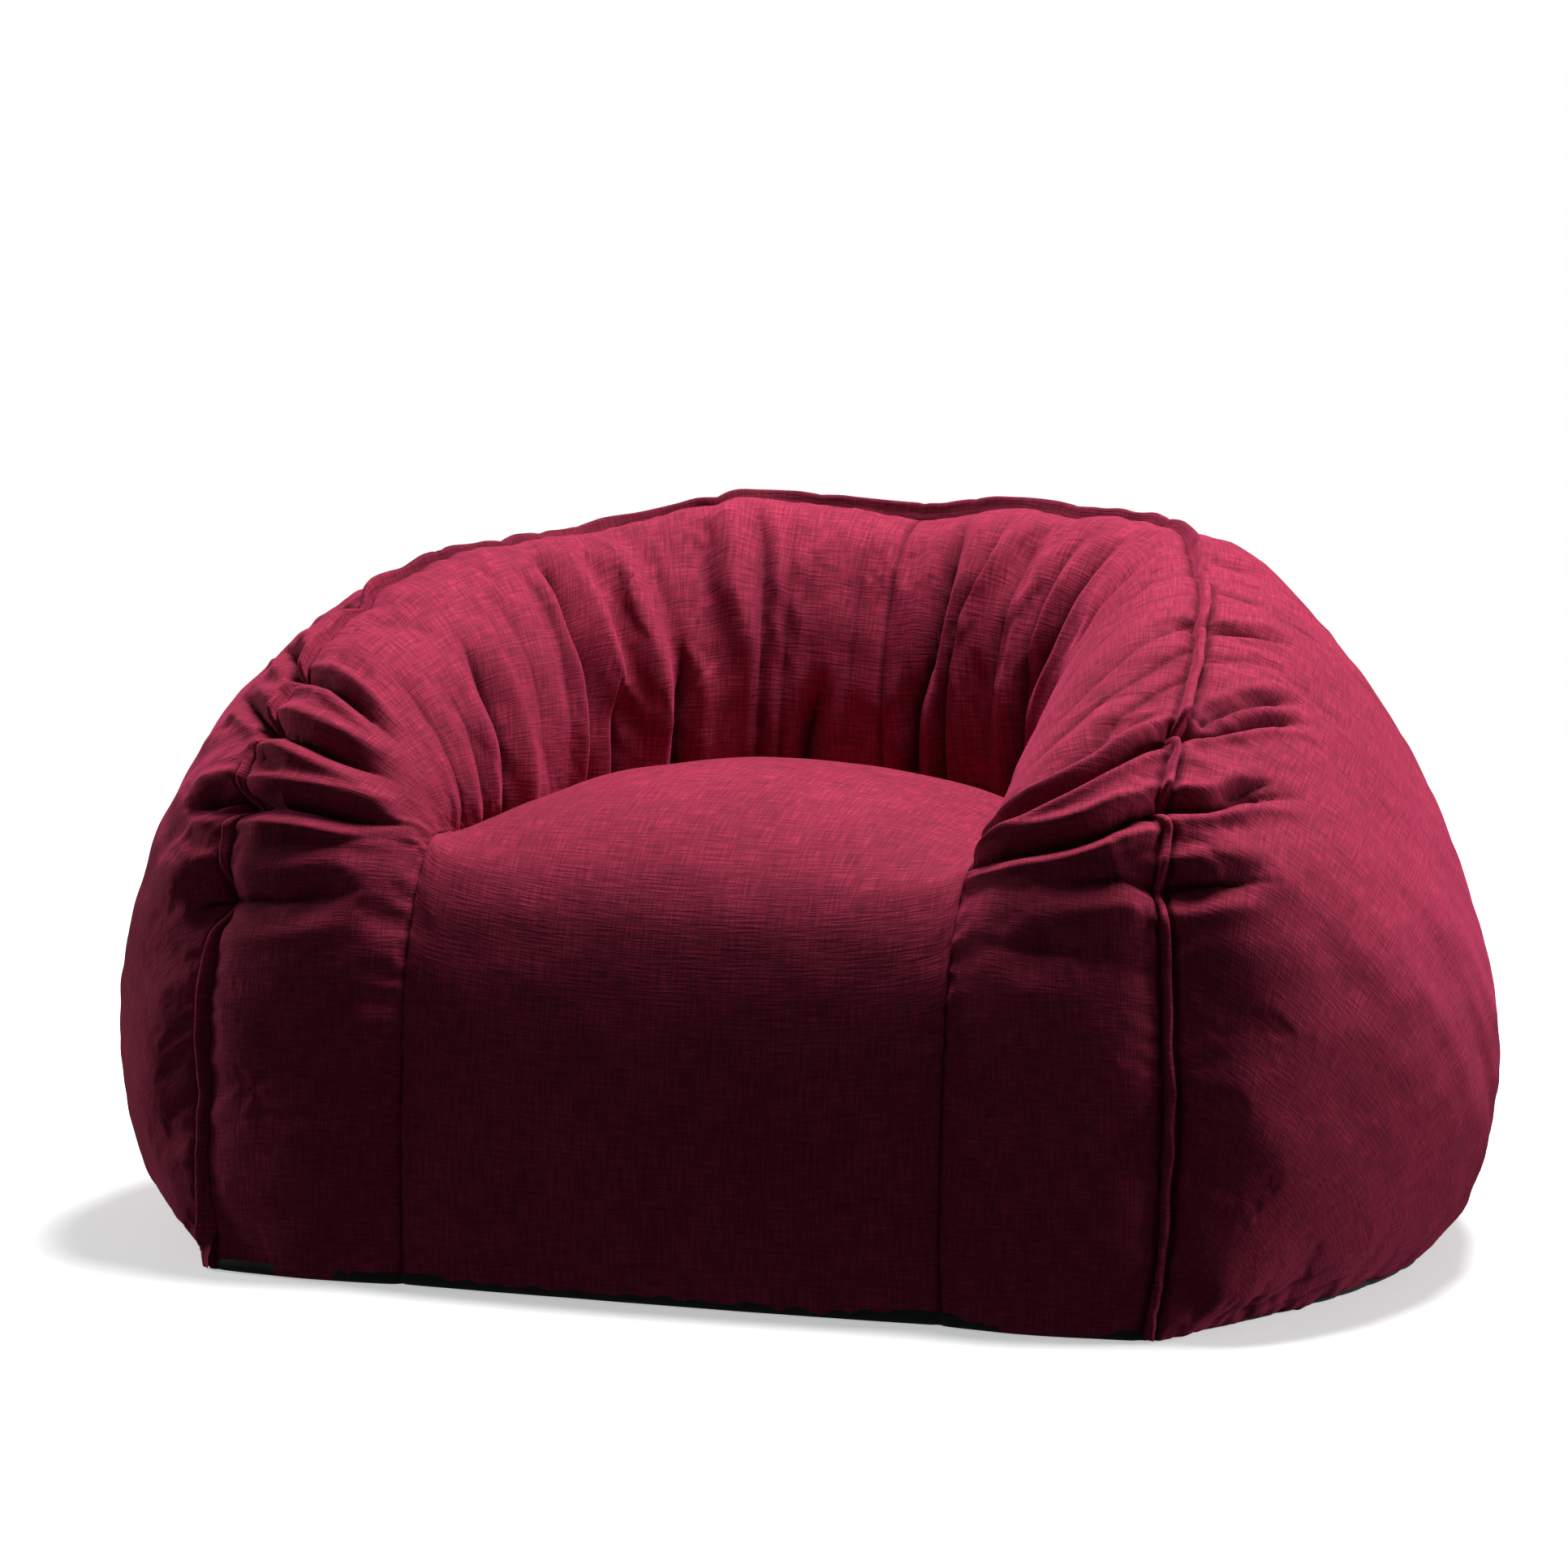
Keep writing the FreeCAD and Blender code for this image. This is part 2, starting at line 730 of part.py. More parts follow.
def zip_directions(turn):
    """Out of the cover, level outwards, and the spot on the zip line at a turn from the middle."""
    swing, slope = math.radians(turn), math.radians(size("zip_slope"))
    outward = FreeCAD.Vector(-math.sin(swing), math.cos(swing), 0)
    out = outward * math.cos(slope) - UP * math.sin(slope)
    centre = FreeCAD.Vector(0, size("zip_axis_y"), size("zip_height"))
    return out, outward, centre + outward * size("zip_radius")


def on_zip_line(body, turn):
    """Stands a body on the zip line: x along the line, y out of the cover, z up its slope."""
    out, outward, spot = zip_directions(turn)
    line = outward.cross(UP)
    body.Placement = FreeCAD.Placement(spot, FreeCAD.Rotation(line, out, line.cross(out), "ZXY"))


def rectangle(sketch, low_x, high_x, low_y, high_y):
    """A rectangle between expressions, added to whatever the sketch already holds."""
    first = sketch.GeometryCount
    ring = [point(0, 0), point(5, 0), point(5, 5), point(0, 5)]
    for k in range(4):
        sketch.addGeometry(Part.LineSegment(ring[k], ring[(k + 1) % 4]), False)
    for k in range(4):
        sketch.addConstraint(Limit("Coincident", first + k, END, first + (k + 1) % 4, START))
    for k, kind in enumerate(("Horizontal", "Vertical", "Horizontal", "Vertical")):
        sketch.addConstraint(Limit(kind, first + k))
    bind_point(sketch, f"low{first}", first, START, low_x, low_y)
    bind_point(sketch, f"high{first}", first + 2, START, high_x, high_y)


def block(body, name, plane, width, *rectangles):
    """A pad centred on one of the body's planes; a second rectangle inside the first is a hole."""
    sketch = new_sketch(body, f"{name}Plan", plane)
    for edges in rectangles:
        rectangle(sketch, *edges)
    pad = body.newObject("PartDesign::Pad", name)
    pad.Profile = sketch
    pad.SideType = "Symmetric"
    pad.setExpression("Length", width)
    return pad


PLATE_NEAR = f"({HALF_TEETH} + Dims.slider_play)"
PLATE_FAR = f"({PLATE_NEAR} + Dims.slider_wall)"
LONG = "Dims.slider_length / 2"
BAIL_TOP = f"({PLATE_FAR} + Dims.bail_window_height + Dims.bail_thickness)"
parked = size("slider_park_angle")

slider = new_body("ZipSlider")
block(
    slider,
    "SliderWeb",
    "XY_Plane",
    "2 * Dims.web_half",
    (f"-{LONG}", LONG, f"-{PLATE_NEAR} - 0.3", f"{PLATE_NEAR} + 0.3"),
)
for sign, word, near, far in (
    ("", "Outer", PLATE_NEAR, PLATE_FAR),
    ("-", "Inner", f"-{PLATE_FAR}", f"-{PLATE_NEAR}"),
):
    block(slider, f"Slider{word}Plate", "XY_Plane", "Dims.slider_width", (f"-{LONG}", LONG, near, far))
HALF_WINDOW = "Dims.bail_window_length / 2"
block(
    slider,
    "SliderBail",
    "YZ_Plane",
    "Dims.bail_width",
    (
        f"{PLATE_FAR} - 0.3",
        BAIL_TOP,
        f"-{HALF_WINDOW} - Dims.bail_thickness",
        f"{HALF_WINDOW} + Dims.bail_thickness",
    ),
    (PLATE_FAR, f"{PLATE_FAR} + Dims.bail_window_height", f"-{HALF_WINDOW}", HALF_WINDOW),
)
on_zip_line(slider, parked)
node("zip_slider", slider)

# the pull hangs straight down from a round pin inside the bail
pull = new_body("ZipPull")
half_width, half_hole = "Dims.pull_width / 2", "Dims.pull_hole_width / 2"
outline = new_sketch(pull, "PullPlan", "XZ_Plane")
polygon(
    outline,
    [
        (f"-{half_width}", "-Dims.pull_length"),
        (half_width, "-Dims.pull_length"),
        (half_width, "0"),
        (half_hole, "0"),
        (half_hole, "-Dims.pull_hole_length"),
        (f"-{half_hole}", "-Dims.pull_hole_length"),
        (f"-{half_hole}", "0"),
        (f"-{half_width}", "0"),
    ],
)
pin_plan = new_sketch(pull, "PinPlan", "YZ_Plane")
pin_plan.addGeometry(Part.Circle(point(0, 0), UP, 1), False)
pin_plan.addConstraint(Limit("Coincident", 0, CENTRE, ORIGIN, START))
bind(pin_plan, "radius", Limit("Radius", 0, 1), "Dims.pull_pin_radius")
for name, plan, length in (
    ("PullTab", outline, "Dims.pull_thickness"),
    ("PullPin", pin_plan, "Dims.pull_width"),
):
    pad = pull.newObject("PartDesign::Pad", name)
    pad.Profile = plan
    pad.SideType = "Symmetric"
    pad.setExpression("Length", length)
pin_out = (
    size("teeth_thickness") / 2 + size("slider_play") + size("slider_wall") + size("bail_window_height") / 2
)
out, outward, spot = zip_directions(parked)
along = FreeCAD.Rotation(outward.cross(UP), outward, UP, "ZXY")
pull.Placement = FreeCAD.Placement(spot + out * pin_out, along)
node("zip_pull", pull)

label = sloped_bar(
    "CareLabel",
    "Dims.label_standoff",
    "Dims.label_standoff + Dims.label_thickness",
    "-Dims.label_length / 2",
    "Dims.label_length / 2",
    "Dims.label_half_angle",
    "Dims.label_turn",
)
node("care_label", label)

# ---------------------------------------------------------------- checks and export

doc.recompute()
for thing in doc.Objects:
    faults = [word for word in ("Invalid", "Error") if word in thing.State]
    if faults:
        raise SystemExit(f"{thing.Name} did not build: {thing.getStatusString()}")
for part in nodes:
    shape = part.Shape
    if shape.isNull() or not shape.isValid() or not shape.Solids:
        raise SystemExit(f"{part.Label} is not a sound solid")

os.makedirs("parts", exist_ok=True)
for part in nodes:
    part.Shape.exportStep(f"parts/{part.Label}.step")
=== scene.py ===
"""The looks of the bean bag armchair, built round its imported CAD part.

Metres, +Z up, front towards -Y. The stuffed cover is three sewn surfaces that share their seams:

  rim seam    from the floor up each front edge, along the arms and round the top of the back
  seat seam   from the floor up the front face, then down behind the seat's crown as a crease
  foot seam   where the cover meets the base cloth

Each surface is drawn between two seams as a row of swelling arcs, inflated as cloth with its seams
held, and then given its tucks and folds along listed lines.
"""

import math

import bpy
import numpy as np
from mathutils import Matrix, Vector


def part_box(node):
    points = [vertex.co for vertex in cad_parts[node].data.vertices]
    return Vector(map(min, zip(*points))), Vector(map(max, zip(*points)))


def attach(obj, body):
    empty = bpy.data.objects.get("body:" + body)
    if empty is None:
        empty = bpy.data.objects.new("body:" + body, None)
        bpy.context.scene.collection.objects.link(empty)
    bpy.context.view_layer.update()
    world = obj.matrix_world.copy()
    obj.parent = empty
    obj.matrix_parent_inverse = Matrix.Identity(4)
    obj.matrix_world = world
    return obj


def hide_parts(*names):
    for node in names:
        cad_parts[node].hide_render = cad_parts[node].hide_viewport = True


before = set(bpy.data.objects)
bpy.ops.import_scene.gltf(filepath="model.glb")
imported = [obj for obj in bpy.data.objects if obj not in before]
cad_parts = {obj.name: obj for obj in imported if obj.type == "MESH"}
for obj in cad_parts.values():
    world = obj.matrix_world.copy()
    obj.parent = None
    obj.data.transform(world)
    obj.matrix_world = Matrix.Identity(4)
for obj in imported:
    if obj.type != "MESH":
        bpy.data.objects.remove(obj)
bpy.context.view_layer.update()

# ---- the seams, right half
# Points in mm, from the floor at the right front corner to the middle of the back.


def millimetres(*points):
    return np.array(points) / 1000


RIM_POINTS = millimetres(
    (434, -470, 0), (443, -460, 60), (447, -452, 147),
    (446, -448, 235), (438, -434, 314), (433, -424, 372),
    (427, -404, 420), (420, -376, 456), (411, -318, 496),
    (400, -240, 536), (386, -168, 572), (362, -81, 600),
    (330, 10, 608), (286, 100, 618), (208, 158, 633),
    (105, 195, 641), (0, 206, 640),
)
SEAT_POINTS = millimetres(
    (250, -476, 2), (250, -474, 100), (250, -468, 190),
    (250, -458, 280), (250, -442, 328), (250, -420, 364),
    (250, -394, 388), (252, -360, 386), (254, -300, 370),
    (252, -220, 355), (246, -130, 343), (228, -20, 338),
    (176, 60, 335), (95, 110, 335), (0, 125, 335),
)
FOOT_POINTS = millimetres(
    (434, -470, 0), (482, -385, 4), (530, -270, 4),
    (556, -160, 4), (560, -60, 4), (535, 60, 4),
    (475, 190, 4), (375, 305, 4), (250, 380, 4),
    (125, 414, 4), (0, 424, 4),
)
# the centre line of the front and seat, from the floor to the back of the seat
CENTRE_POINTS = millimetres(
    (0, -482, 2), (0, -490, 100), (0, -488, 200), (0, -472, 290),
    (0, -446, 352), (0, -402, 398), (0, -336, 426), (0, -250, 438),
    (0, -160, 434), (0, -80, 418), (0, -10, 394), (0, 65, 364),
    (0, 125, 335),
)


def at_places(values, old, new):
    """Rows of numbers known at old places, read off at new ones."""
    return np.stack([np.interp(new, old, column) for column in values.T], axis=-1)


def bell(away, width):
    return np.exp(-((away / width) ** 2))


def catmull_rom(a, b, c, d, step):
    """The curve from b to c with a before and d after it, at shares of the way."""
    cubic = 2 * b + (c - a) * step + (2 * a - 5 * b + 4 * c - d) * step**2
    return 0.5 * (cubic + (3 * b - a - 3 * c + d) * step**3)


def smooth_curve(points, at):
    """Points of a Catmull-Rom curve through the given points, at arc-length shares."""
    knots = np.array(points, float)
    padded = np.vstack([2 * knots[0] - knots[1], knots, 2 * knots[-1] - knots[-2]])
    fine = []
    steps = np.linspace(0, 1, 24, endpoint=False)[:, None]
    for k in range(len(knots) - 1):
        fine.append(catmull_rom(*padded[k : k + 4], steps))
    fine = np.vstack(fine + [knots[-1:]])
    run = np.r_[0, np.cumsum(np.linalg.norm(np.diff(fine, axis=0), axis=1))]
    run /= run[-1]
    return at_places(fine, run, at)


def corner_share(share):
    """Share of the way from the nearer front corner to the middle of the back."""
    return 1 - np.abs(2 * np.asarray(share) - 1)


def whole_curve(points, share):
    """A seam across both halves: share 0 is the left front corner, 1 the right one."""
    curve = smooth_curve(points, corner_share(share))
    curve[..., 0] *= np.where(np.asarray(share) < 0.5, -1, 1)
    return curve


def ramp(pairs, share):
    """Smooth numbers through (share of the way from the front corner to the middle, value) pairs."""
    curve = smooth_curve(pairs, np.linspace(0, 1, 600))
    return np.interp(corner_share(share), curve[:, 0], curve[:, 1])


def unit(vectors):
    return vectors / np.maximum(np.linalg.norm(vectors, axis=-1, keepdims=True), 1e-9)


def mirrored_direction(pairs, share):
    """Unit directions given for the right half at shares from the corner, mirrored on the left."""
    places = [place for place, _ in pairs]
    ways = np.array([way for _, way in pairs], float)
    turned = at_places(ways, places, corner_share(share))
    turned[..., 0] *= np.where(np.asarray(share) < 0.5, -1, 1)
    return unit(turned)


# ---- the rim's own waves
# Raised or lowered by this much at shares of its length from the left front corner.

RIM_LIFTS = [
    (0.0, 0.0), (0.14, 0.0), (0.19, 0.011), (0.225, 0.018), (0.26, 0.009), (0.3, -0.005),
    (0.38, -0.017), (0.418, -0.015), (0.436, -0.01), (0.47, -0.019), (0.506, -0.022),
    (0.526, -0.015), (0.545, -0.013), (0.566, -0.014), (0.59, -0.005), (0.62, 0.003),
    (0.645, -0.003), (0.68, -0.01), (0.72, -0.008), (0.77, -0.003), (0.82, 0.0),
    (1.0, 0.0),
]


def rim_curve(share):
    curve = whole_curve(RIM_POINTS, share)
    waves = smooth_curve(RIM_LIFTS, np.linspace(0, 1, 900))
    curve[..., 2] += np.interp(share, waves[:, 0], waves[:, 1])
    return curve


# ---- the swelling between the seams

# outer cover: how far it swells from the straight line between foot seam and rim seam
OUTER_SWELL = [
    (0.0, 0.0), (0.1, 0.047), (0.25, 0.102), (0.4, 0.138), (0.6, 0.153), (0.8, 0.163),
    (1.0, 0.168),
]
OUTER_WAY = [
    (0.0, (1, -0.5, 0)),
    (0.25, (1, -0.25, 0)),
    (0.45, (1, 0.1, 0)),
    (0.7, (0.75, 0.75, 0)),
    (1.0, (0, 1, 0)),
]
# how much of the swelling is lost right at the foot seam
FOOT_TUCK = [(0.0, 0.5), (0.6, 0.6), (1.0, 0.75)]
FOOT_TUCK_POWER = 4
# the filling has settled a little to one side
SETTLED = 0.0105


def outer_surface(share, up):
    """The outer cover: share runs round from the left front corner, up from foot seam to rim."""
    foot, rim = whole_curve(FOOT_POINTS, share), rim_curve(share)
    way = mirrored_direction(OUTER_WAY, share)
    share, up = share[..., None], up[..., None]
    lift = (1 - np.cos(np.pi * up)) / 2
    round_out = np.sin(np.pi * up)
    tuck = 1 - ramp(FOOT_TUCK, share) * (1 - lift) ** FOOT_TUCK_POWER
    shape = foot + (rim - foot) * lift + way * ramp(OUTER_SWELL, share) * round_out * tuck
    return shape + np.array([SETTLED, 0, 0]) * round_out


BAND_SWELL = [
    (0.0, 0.012), (0.15, 0.02), (0.3, 0.035), (0.42, 0.055), (0.6, 0.07), (0.8, 0.078),
    (1.0, 0.078),
]
BAND_WAY = [
    (0.0, (0, -1, 0)),
    (0.2, (0, -1, 0.1)),
    (0.32, (-0.2, -0.8, 0.6)),
    (0.42, (-0.6, -0.4, 0.7)),
    (0.6, (-0.8, -0.3, 0.6)),
    (0.8, (-0.45, -0.8, 0.4)),
    (1.0, (0, -0.95, 0.3)),
]
# which share of the seat seam each share of the rim seam is gathered to
GATHER = [
    (0.0, 0.0), (0.1, 0.13), (0.2, 0.25), (0.28, 0.36), (0.36, 0.41), (0.45, 0.455),
    (0.55, 0.52), (0.7, 0.66), (0.85, 0.82), (1.0, 1.0),
]


def gathered(share):
    """Share along the seat seam that meets a share along the rim seam."""
    places, seat = zip(*GATHER)
    met = np.interp(corner_share(share), places, seat)
    return np.where(np.asarray(share) < 0.5, met / 2, 1 - met / 2)


def band_surface(share, across):
    """The gathered inner band: across runs from the rim seam to the seat seam."""
    rim, seat = rim_curve(share), whole_curve(SEAT_POINTS, gathered(share))
    way = mirrored_direction(BAND_WAY, share)
    share, across = share[..., None], across[..., None]
    reach = (1 - np.cos(np.pi * across)) / 2
    return rim + (seat - rim) * reach + way * ramp(BAND_SWELL, share) * np.sin(np.pi * across)


# the seat panel stops just short of the point where its two seams meet
SEAT_END = 0.985


def seat_surface(share, across):
    """Front face and seat: share runs from the floor to the back of the seat, across left to right."""
    share = share * SEAT_END
    right = smooth_curve(SEAT_POINTS, share)
    left = right * (-1, 1, 1)
    middle = smooth_curve(CENTRE_POINTS, share)
    turn = np.sin(np.pi / 2 * across)[..., None]
    chord = left + (right - left) * (turn + 1) / 2
    return chord + (middle - (left + right) / 2) * np.sqrt(np.maximum(1 - turn**2, 0))


# ---- the rim pulled in at its tucks
# (share of the rim, how far it is pulled towards the seat, half width as a share)

RIM_PULLS = [
    (0.249, 0.007, 0.006), (0.204, 0.008, 0.005), (0.181, 0.012, 0.005),
    (0.156, 0.012, 0.006), (0.124, 0.014, 0.01), (0.726, 0.005, 0.006),
    (0.792, 0.009, 0.006), (0.826, 0.01, 0.006), (0.855, 0.008, 0.008),
    (0.667, 0.004, 0.008), (0.334, 0.002, 0.006), (0.426, 0.002, 0.006),
    (0.905, 0.003, 0.01), (0.95, 0.003, 0.008), (0.06, 0.003, 0.01),
]


def pulled_in(share):
    """How far the rim is drawn towards the middle of the chair."""
    pull = np.zeros(np.shape(share))
    for at, amount, width in RIM_PULLS:
        pull += amount * bell(share - at, width)
    return pull


# ---- grids and meshes

FINER = 3  # each step of a coarse grid becomes this many
FLOOR_GAP = 0.001


def grid_of(surface, long_count, cross_count, low=0.0):
    share, across = np.meshgrid(
        np.linspace(0, 1, long_count), np.linspace(low, 1, cross_count), indexing="ij"
    )
    return surface(share, across), share, across


def cubic_resample(values, axis, finer):
    """Values of a row of points, filled in by a Catmull-Rom curve along one axis."""
    rows = np.moveaxis(values, axis, 0)
    ends = np.concatenate([2 * rows[:1] - rows[1:2], rows, 2 * rows[-1:] - rows[-2:-1]])
    at = np.arange((len(rows) - 1) * finer + 1) / finer
    base = np.minimum(at.astype(int), len(rows) - 2)
    step = (at - base).reshape((-1,) + (1,) * (rows.ndim - 1))
    return np.moveaxis(catmull_rom(*(ends[base + k] for k in range(4)), step), 0, axis)


def finer_grid(values):
    return cubic_resample(cubic_resample(values, 0, FINER), 1, FINER)


def grid_normals(points, outward):
    along = np.gradient(points, axis=0)
    across = np.gradient(points, axis=1)
    return unit(np.cross(along, across)) * outward


def blurred(values, rounds):
    """Values of a grid smoothed over their neighbours, its edges held."""
    soft = values.copy()
    for _ in range(rounds):
        soft[1:-1] = (soft[:-2] + 2 * soft[1:-1] + soft[2:]) / 4
        soft[:, 1:-1] = (soft[:, :-2] + 2 * soft[:, 1:-1] + soft[:, 2:]) / 4
    return soft


def grid_faces(long_count, cross_count, flip):
    index = np.arange(long_count * cross_count).reshape(long_count, cross_count)
    corners = [index[:-1, :-1], index[1:, :-1], index[1:, 1:], index[:-1, 1:]]
    faces = np.stack(corners, axis=-1).reshape(-1, 4)
    return faces[:, ::-1] if flip else faces


def make_mesh(name, points, faces, cloth_run=None, painted_shade=None):
    """A mesh object of quads, with a UV map in metres of cloth where one is given, and a point
    attribute of painted shade where that is given.
    """
    used, compact = np.unique(faces, return_inverse=True)
    points, faces = points.reshape(-1, 3)[used], compact.reshape(faces.shape)
    mesh = bpy.data.meshes.new(name)
    mesh.vertices.add(len(points))
    mesh.vertices.foreach_set("co", points.astype(np.float32).ravel())
    mesh.loops.add(faces.size)
    mesh.loops.foreach_set("vertex_index", faces.astype(np.int32).ravel())
    mesh.polygons.add(len(faces))
    mesh.polygons.foreach_set("loop_start", np.arange(0, faces.size, 4, dtype=np.int32))
    mesh.update(calc_edges=True)
    mesh.validate()
    if cloth_run is not None:
        layer = mesh.uv_layers.new(name="cloth")
        runs = cloth_run.reshape(-1, 2)[used][faces.ravel()]
        layer.data.foreach_set("uv", runs.astype(np.float32).ravel())
    if painted_shade is not None:
        layer = mesh.attributes.new("painted_shade", "FLOAT", "POINT")
        layer.data.foreach_set("value", painted_shade.ravel()[used].astype(np.float32))
    mesh.shade_smooth()
    piece = bpy.data.objects.new(name, mesh)
    bpy.context.scene.collection.objects.link(piece)
    return piece


# ---- cloth simulation

CLOTH_FRAMES = 20
# a negative shrink is spare cloth, which the pressure throws into wrinkles
CLOTH_SETTINGS = {
    "quality": 4,
    "mass": 0.35,
    "tension_stiffness": 25,
    "compression_stiffness": 25,
    "shear_stiffness": 8,
    "bending_stiffness": 0.35,
    "use_pressure": True,
    "uniform_pressure_force": 4.0,
    "shrink_min": -0.025,
    "vertex_group_mass": "held",
}
# the most that the cloth may swell, and that its wrinkles may stand out
SWELL_CAP = 0.002
WRINKLE_CAP = 0.006
# how many rounds of blurring part the broad swelling from the wrinkles
WRINKLE_ROUNDS = 40


def smooth_cap(moves, cap):
    length = np.linalg.norm(moves, axis=-1, keepdims=True)
    return moves * cap * np.tanh(length / cap) / np.maximum(length, 1e-9)


def inflate(surfaces):
    """Inflates the panels as cloth with their seams held, and keeps the wrinkles that form."""
    scene = bpy.context.scene
    scene.frame_start, scene.frame_end = 1, CLOTH_FRAMES
    sheets = []
    for name, (points, outward) in surfaces.items():
        rows, columns = points.shape[:2]
        sheet = make_mesh(f"{name}_sheet", points, grid_faces(rows, columns, outward < 0))
        held = np.zeros((rows, columns), bool)
        held[[0, -1], :] = True
        held[:, [0, -1]] = True
        group = sheet.vertex_groups.new(name="held")
        group.add([int(k) for k in np.flatnonzero(held.ravel())], 1.0, "REPLACE")
        cloth = sheet.modifiers.new("Cloth", "CLOTH")
        settings = cloth.settings
        for setting, value in CLOTH_SETTINGS.items():
            setattr(settings, setting, value)
        settings.effector_weights.gravity = 0
        cloth.point_cache.frame_start = 1
        cloth.point_cache.frame_end = CLOTH_FRAMES
        sheets.append((name, sheet, points))
    for step in range(1, CLOTH_FRAMES + 1):
        scene.frame_set(step)
    shaped = {}
    graph = bpy.context.evaluated_depsgraph_get()
    for name, sheet, points in sheets:
        result = sheet.evaluated_get(graph).to_mesh()
        moved = np.empty(points.size, np.float32)
        result.vertices.foreach_get("co", moved)
        sheet.evaluated_get(graph).to_mesh_clear()
        moves = moved.reshape(points.shape) - points
        broad = blurred(moves, WRINKLE_ROUNDS)
        wrinkles = smooth_cap(moves - broad, WRINKLE_CAP) * WRINKLE_SHARE[name]
        shaped[name] = points + smooth_cap(broad, SWELL_CAP) + wrinkles
        bpy.data.objects.remove(sheet)
    scene.frame_set(1)
    return shaped


# ---- folds
# Each fold is a line of points on one surface (thousandths of the share, hundredths of the way
# across), how deep it is sewn in, in mm (a negative depth stands proud), and its half width in mm.

BAND_FOLDS = [
    # tucks of the left arm
    ([(205, 0), (200, 38), (196, 60)], 17, 5),
    ([(182, 0), (178, 37), (177, 68)], 25, 6.5),
    ([(156, 0), (153, 42), (151, 66), (154, 86)], 27, 6.5),
    ([(125, 0), (122, 39), (128, 66)], 14, 10),
    ([(171, 10), (166, 33)], 6, 6),
    ([(121, 42), (126, 70)], 6, 10),
    ([(140, 25), (140, 60), (145, 80)], 5, 9),
    ([(222, 35), (222, 60), (224, 90)], 4, 6),
    ([(240, 45), (250, 68), (256, 92)], 5, 6),
    # the left half of the back
    ([(266, 35), (277, 58), (282, 72), (284, 95)], 18, 10),
    ([(290, 20), (303, 50), (312, 80)], 3, 6),
    ([(312, 20), (328, 45), (340, 80)], 4, 6),
    ([(336, 12), (349, 42), (361, 60), (369, 95)], 40, 11),
    ([(372, 10), (383, 32), (395, 47), (404, 60), (412, 74)], -15, 13),
    ([(376, 52), (384, 68), (388, 95)], 30, 14),
    ([(413, 46), (416, 62), (418, 95)], 22, 7),
    ([(428, 8), (434, 36), (441, 50), (445, 70)], -12, 12),
    ([(436, 8), (446, 30), (450, 56), (451, 95)], 8, 4),
    ([(456, 15), (459, 56), (458, 95)], 6, 4),
    ([(467, 28), (464, 45), (458, 62)], 5, 8),
    ([(478, 52), (471, 66), (465, 95)], 20, 8),
    ([(486, 10), (486, 50), (484, 85)], 4, 8),
    # the right half of the back
    ([(523, 10), (524, 30), (520, 52), (514, 65), (510, 95)], 26, 6),
    ([(549, 10), (546, 30), (537, 48), (530, 90)], -10, 10),
    ([(544, 12), (540, 32), (531, 50), (524, 95)], 12, 4),
    ([(562, 10), (556, 40), (546, 85)], 8, 6),
    ([(608, 12), (599, 31), (588, 47), (573, 60), (564, 90)], 14, 7),
    ([(590, 12), (577, 35), (560, 90)], 10, 6),
    ([(640, 15), (634, 40), (625, 85)], 8, 10),
    ([(668, 8), (670, 40), (672, 85)], 8, 12),
    ([(700, 15), (712, 40), (725, 80)], 4, 10),
    # tucks of the right arm
    ([(720, 2), (745, 32), (778, 70)], 6, 9),
    ([(740, 3), (766, 30), (795, 68)], 7, 9),
    ([(757, 3), (775, 19), (800, 36), (813, 62)], 8, 9),
    ([(775, 5), (790, 20), (808, 42)], 6, 7),
    ([(791, 0), (802, 16), (811, 30), (819, 48), (829, 92)], 24, 5.5),
    ([(826, 0), (834, 23), (841, 38), (845, 53), (850, 95)], 28, 6),
    ([(855, 0), (855, 24), (858, 37), (861, 56)], 12, 8),
    ([(841, 10), (850, 33), (855, 50)], 6, 8),
    ([(880, 25), (880, 75)], 4, 11),
    # slack cloth by the floor
    ([(6, 8), (4, 60)], 4, 8),
    ([(20, 5), (10, 50)], 3, 10),
]
OUTER_FOLDS = [
    ([(205, 100), (225, 92), (238, 84)], 18, 6),
    ([(182, 100), (194, 93), (207, 85)], 18, 5.5),
    ([(157, 100), (160, 93), (163, 83)], 25, 7),
    ([(125, 100), (124, 94), (124, 86)], 12, 14),
    ([(249, 100), (260, 90)], 9, 7),
    ([(726, 100), (722, 95), (716, 86)], 15, 5),
    ([(745, 98), (738, 90)], 5, 7),
    ([(792, 100), (780, 93), (768, 88), (754, 80)], 21, 5.5),
    ([(779, 97), (766, 92), (753, 86), (745, 82)], 13, 5),
    ([(826, 100), (821, 92), (810, 87), (793, 78)], 22, 5.5),
    ([(818, 92), (805, 87), (792, 82)], 12, 5),
    ([(855, 100), (850, 92), (844, 86), (835, 79)], 15, 8),
    ([(687, 100), (689, 92)], 7, 8),
    ([(667, 100), (664, 90)], 5, 7),
    # the tops of the back's gathers, behind the rim
    ([(300, 100), (304, 90)], 4, 7),
    ([(334, 100), (331, 86)], 5, 8),
    ([(374, 100), (378, 90)], 4, 7),
    ([(426, 100), (424, 86)], 5, 8),
    ([(462, 100), (465, 91)], 3, 7),
    ([(520, 100), (522, 88)], 4, 7),
    ([(560, 100), (557, 91)], 3, 7),
    ([(606, 100), (610, 87)], 5, 8),
    ([(640, 100), (642, 91)], 5, 9),
    # cloth drawn up from the front corners
    ([(990, 12), (955, 30), (912, 47)], 5, 10),
    ([(975, 10), (945, 25), (905, 37)], 5, 10),
    ([(955, 5), (925, 20), (890, 30)], 5, 11),
    ([(15, 12), (40, 26), (75, 38)], 5, 10),
    ([(35, 6), (65, 20), (100, 30)], 5, 11),
]
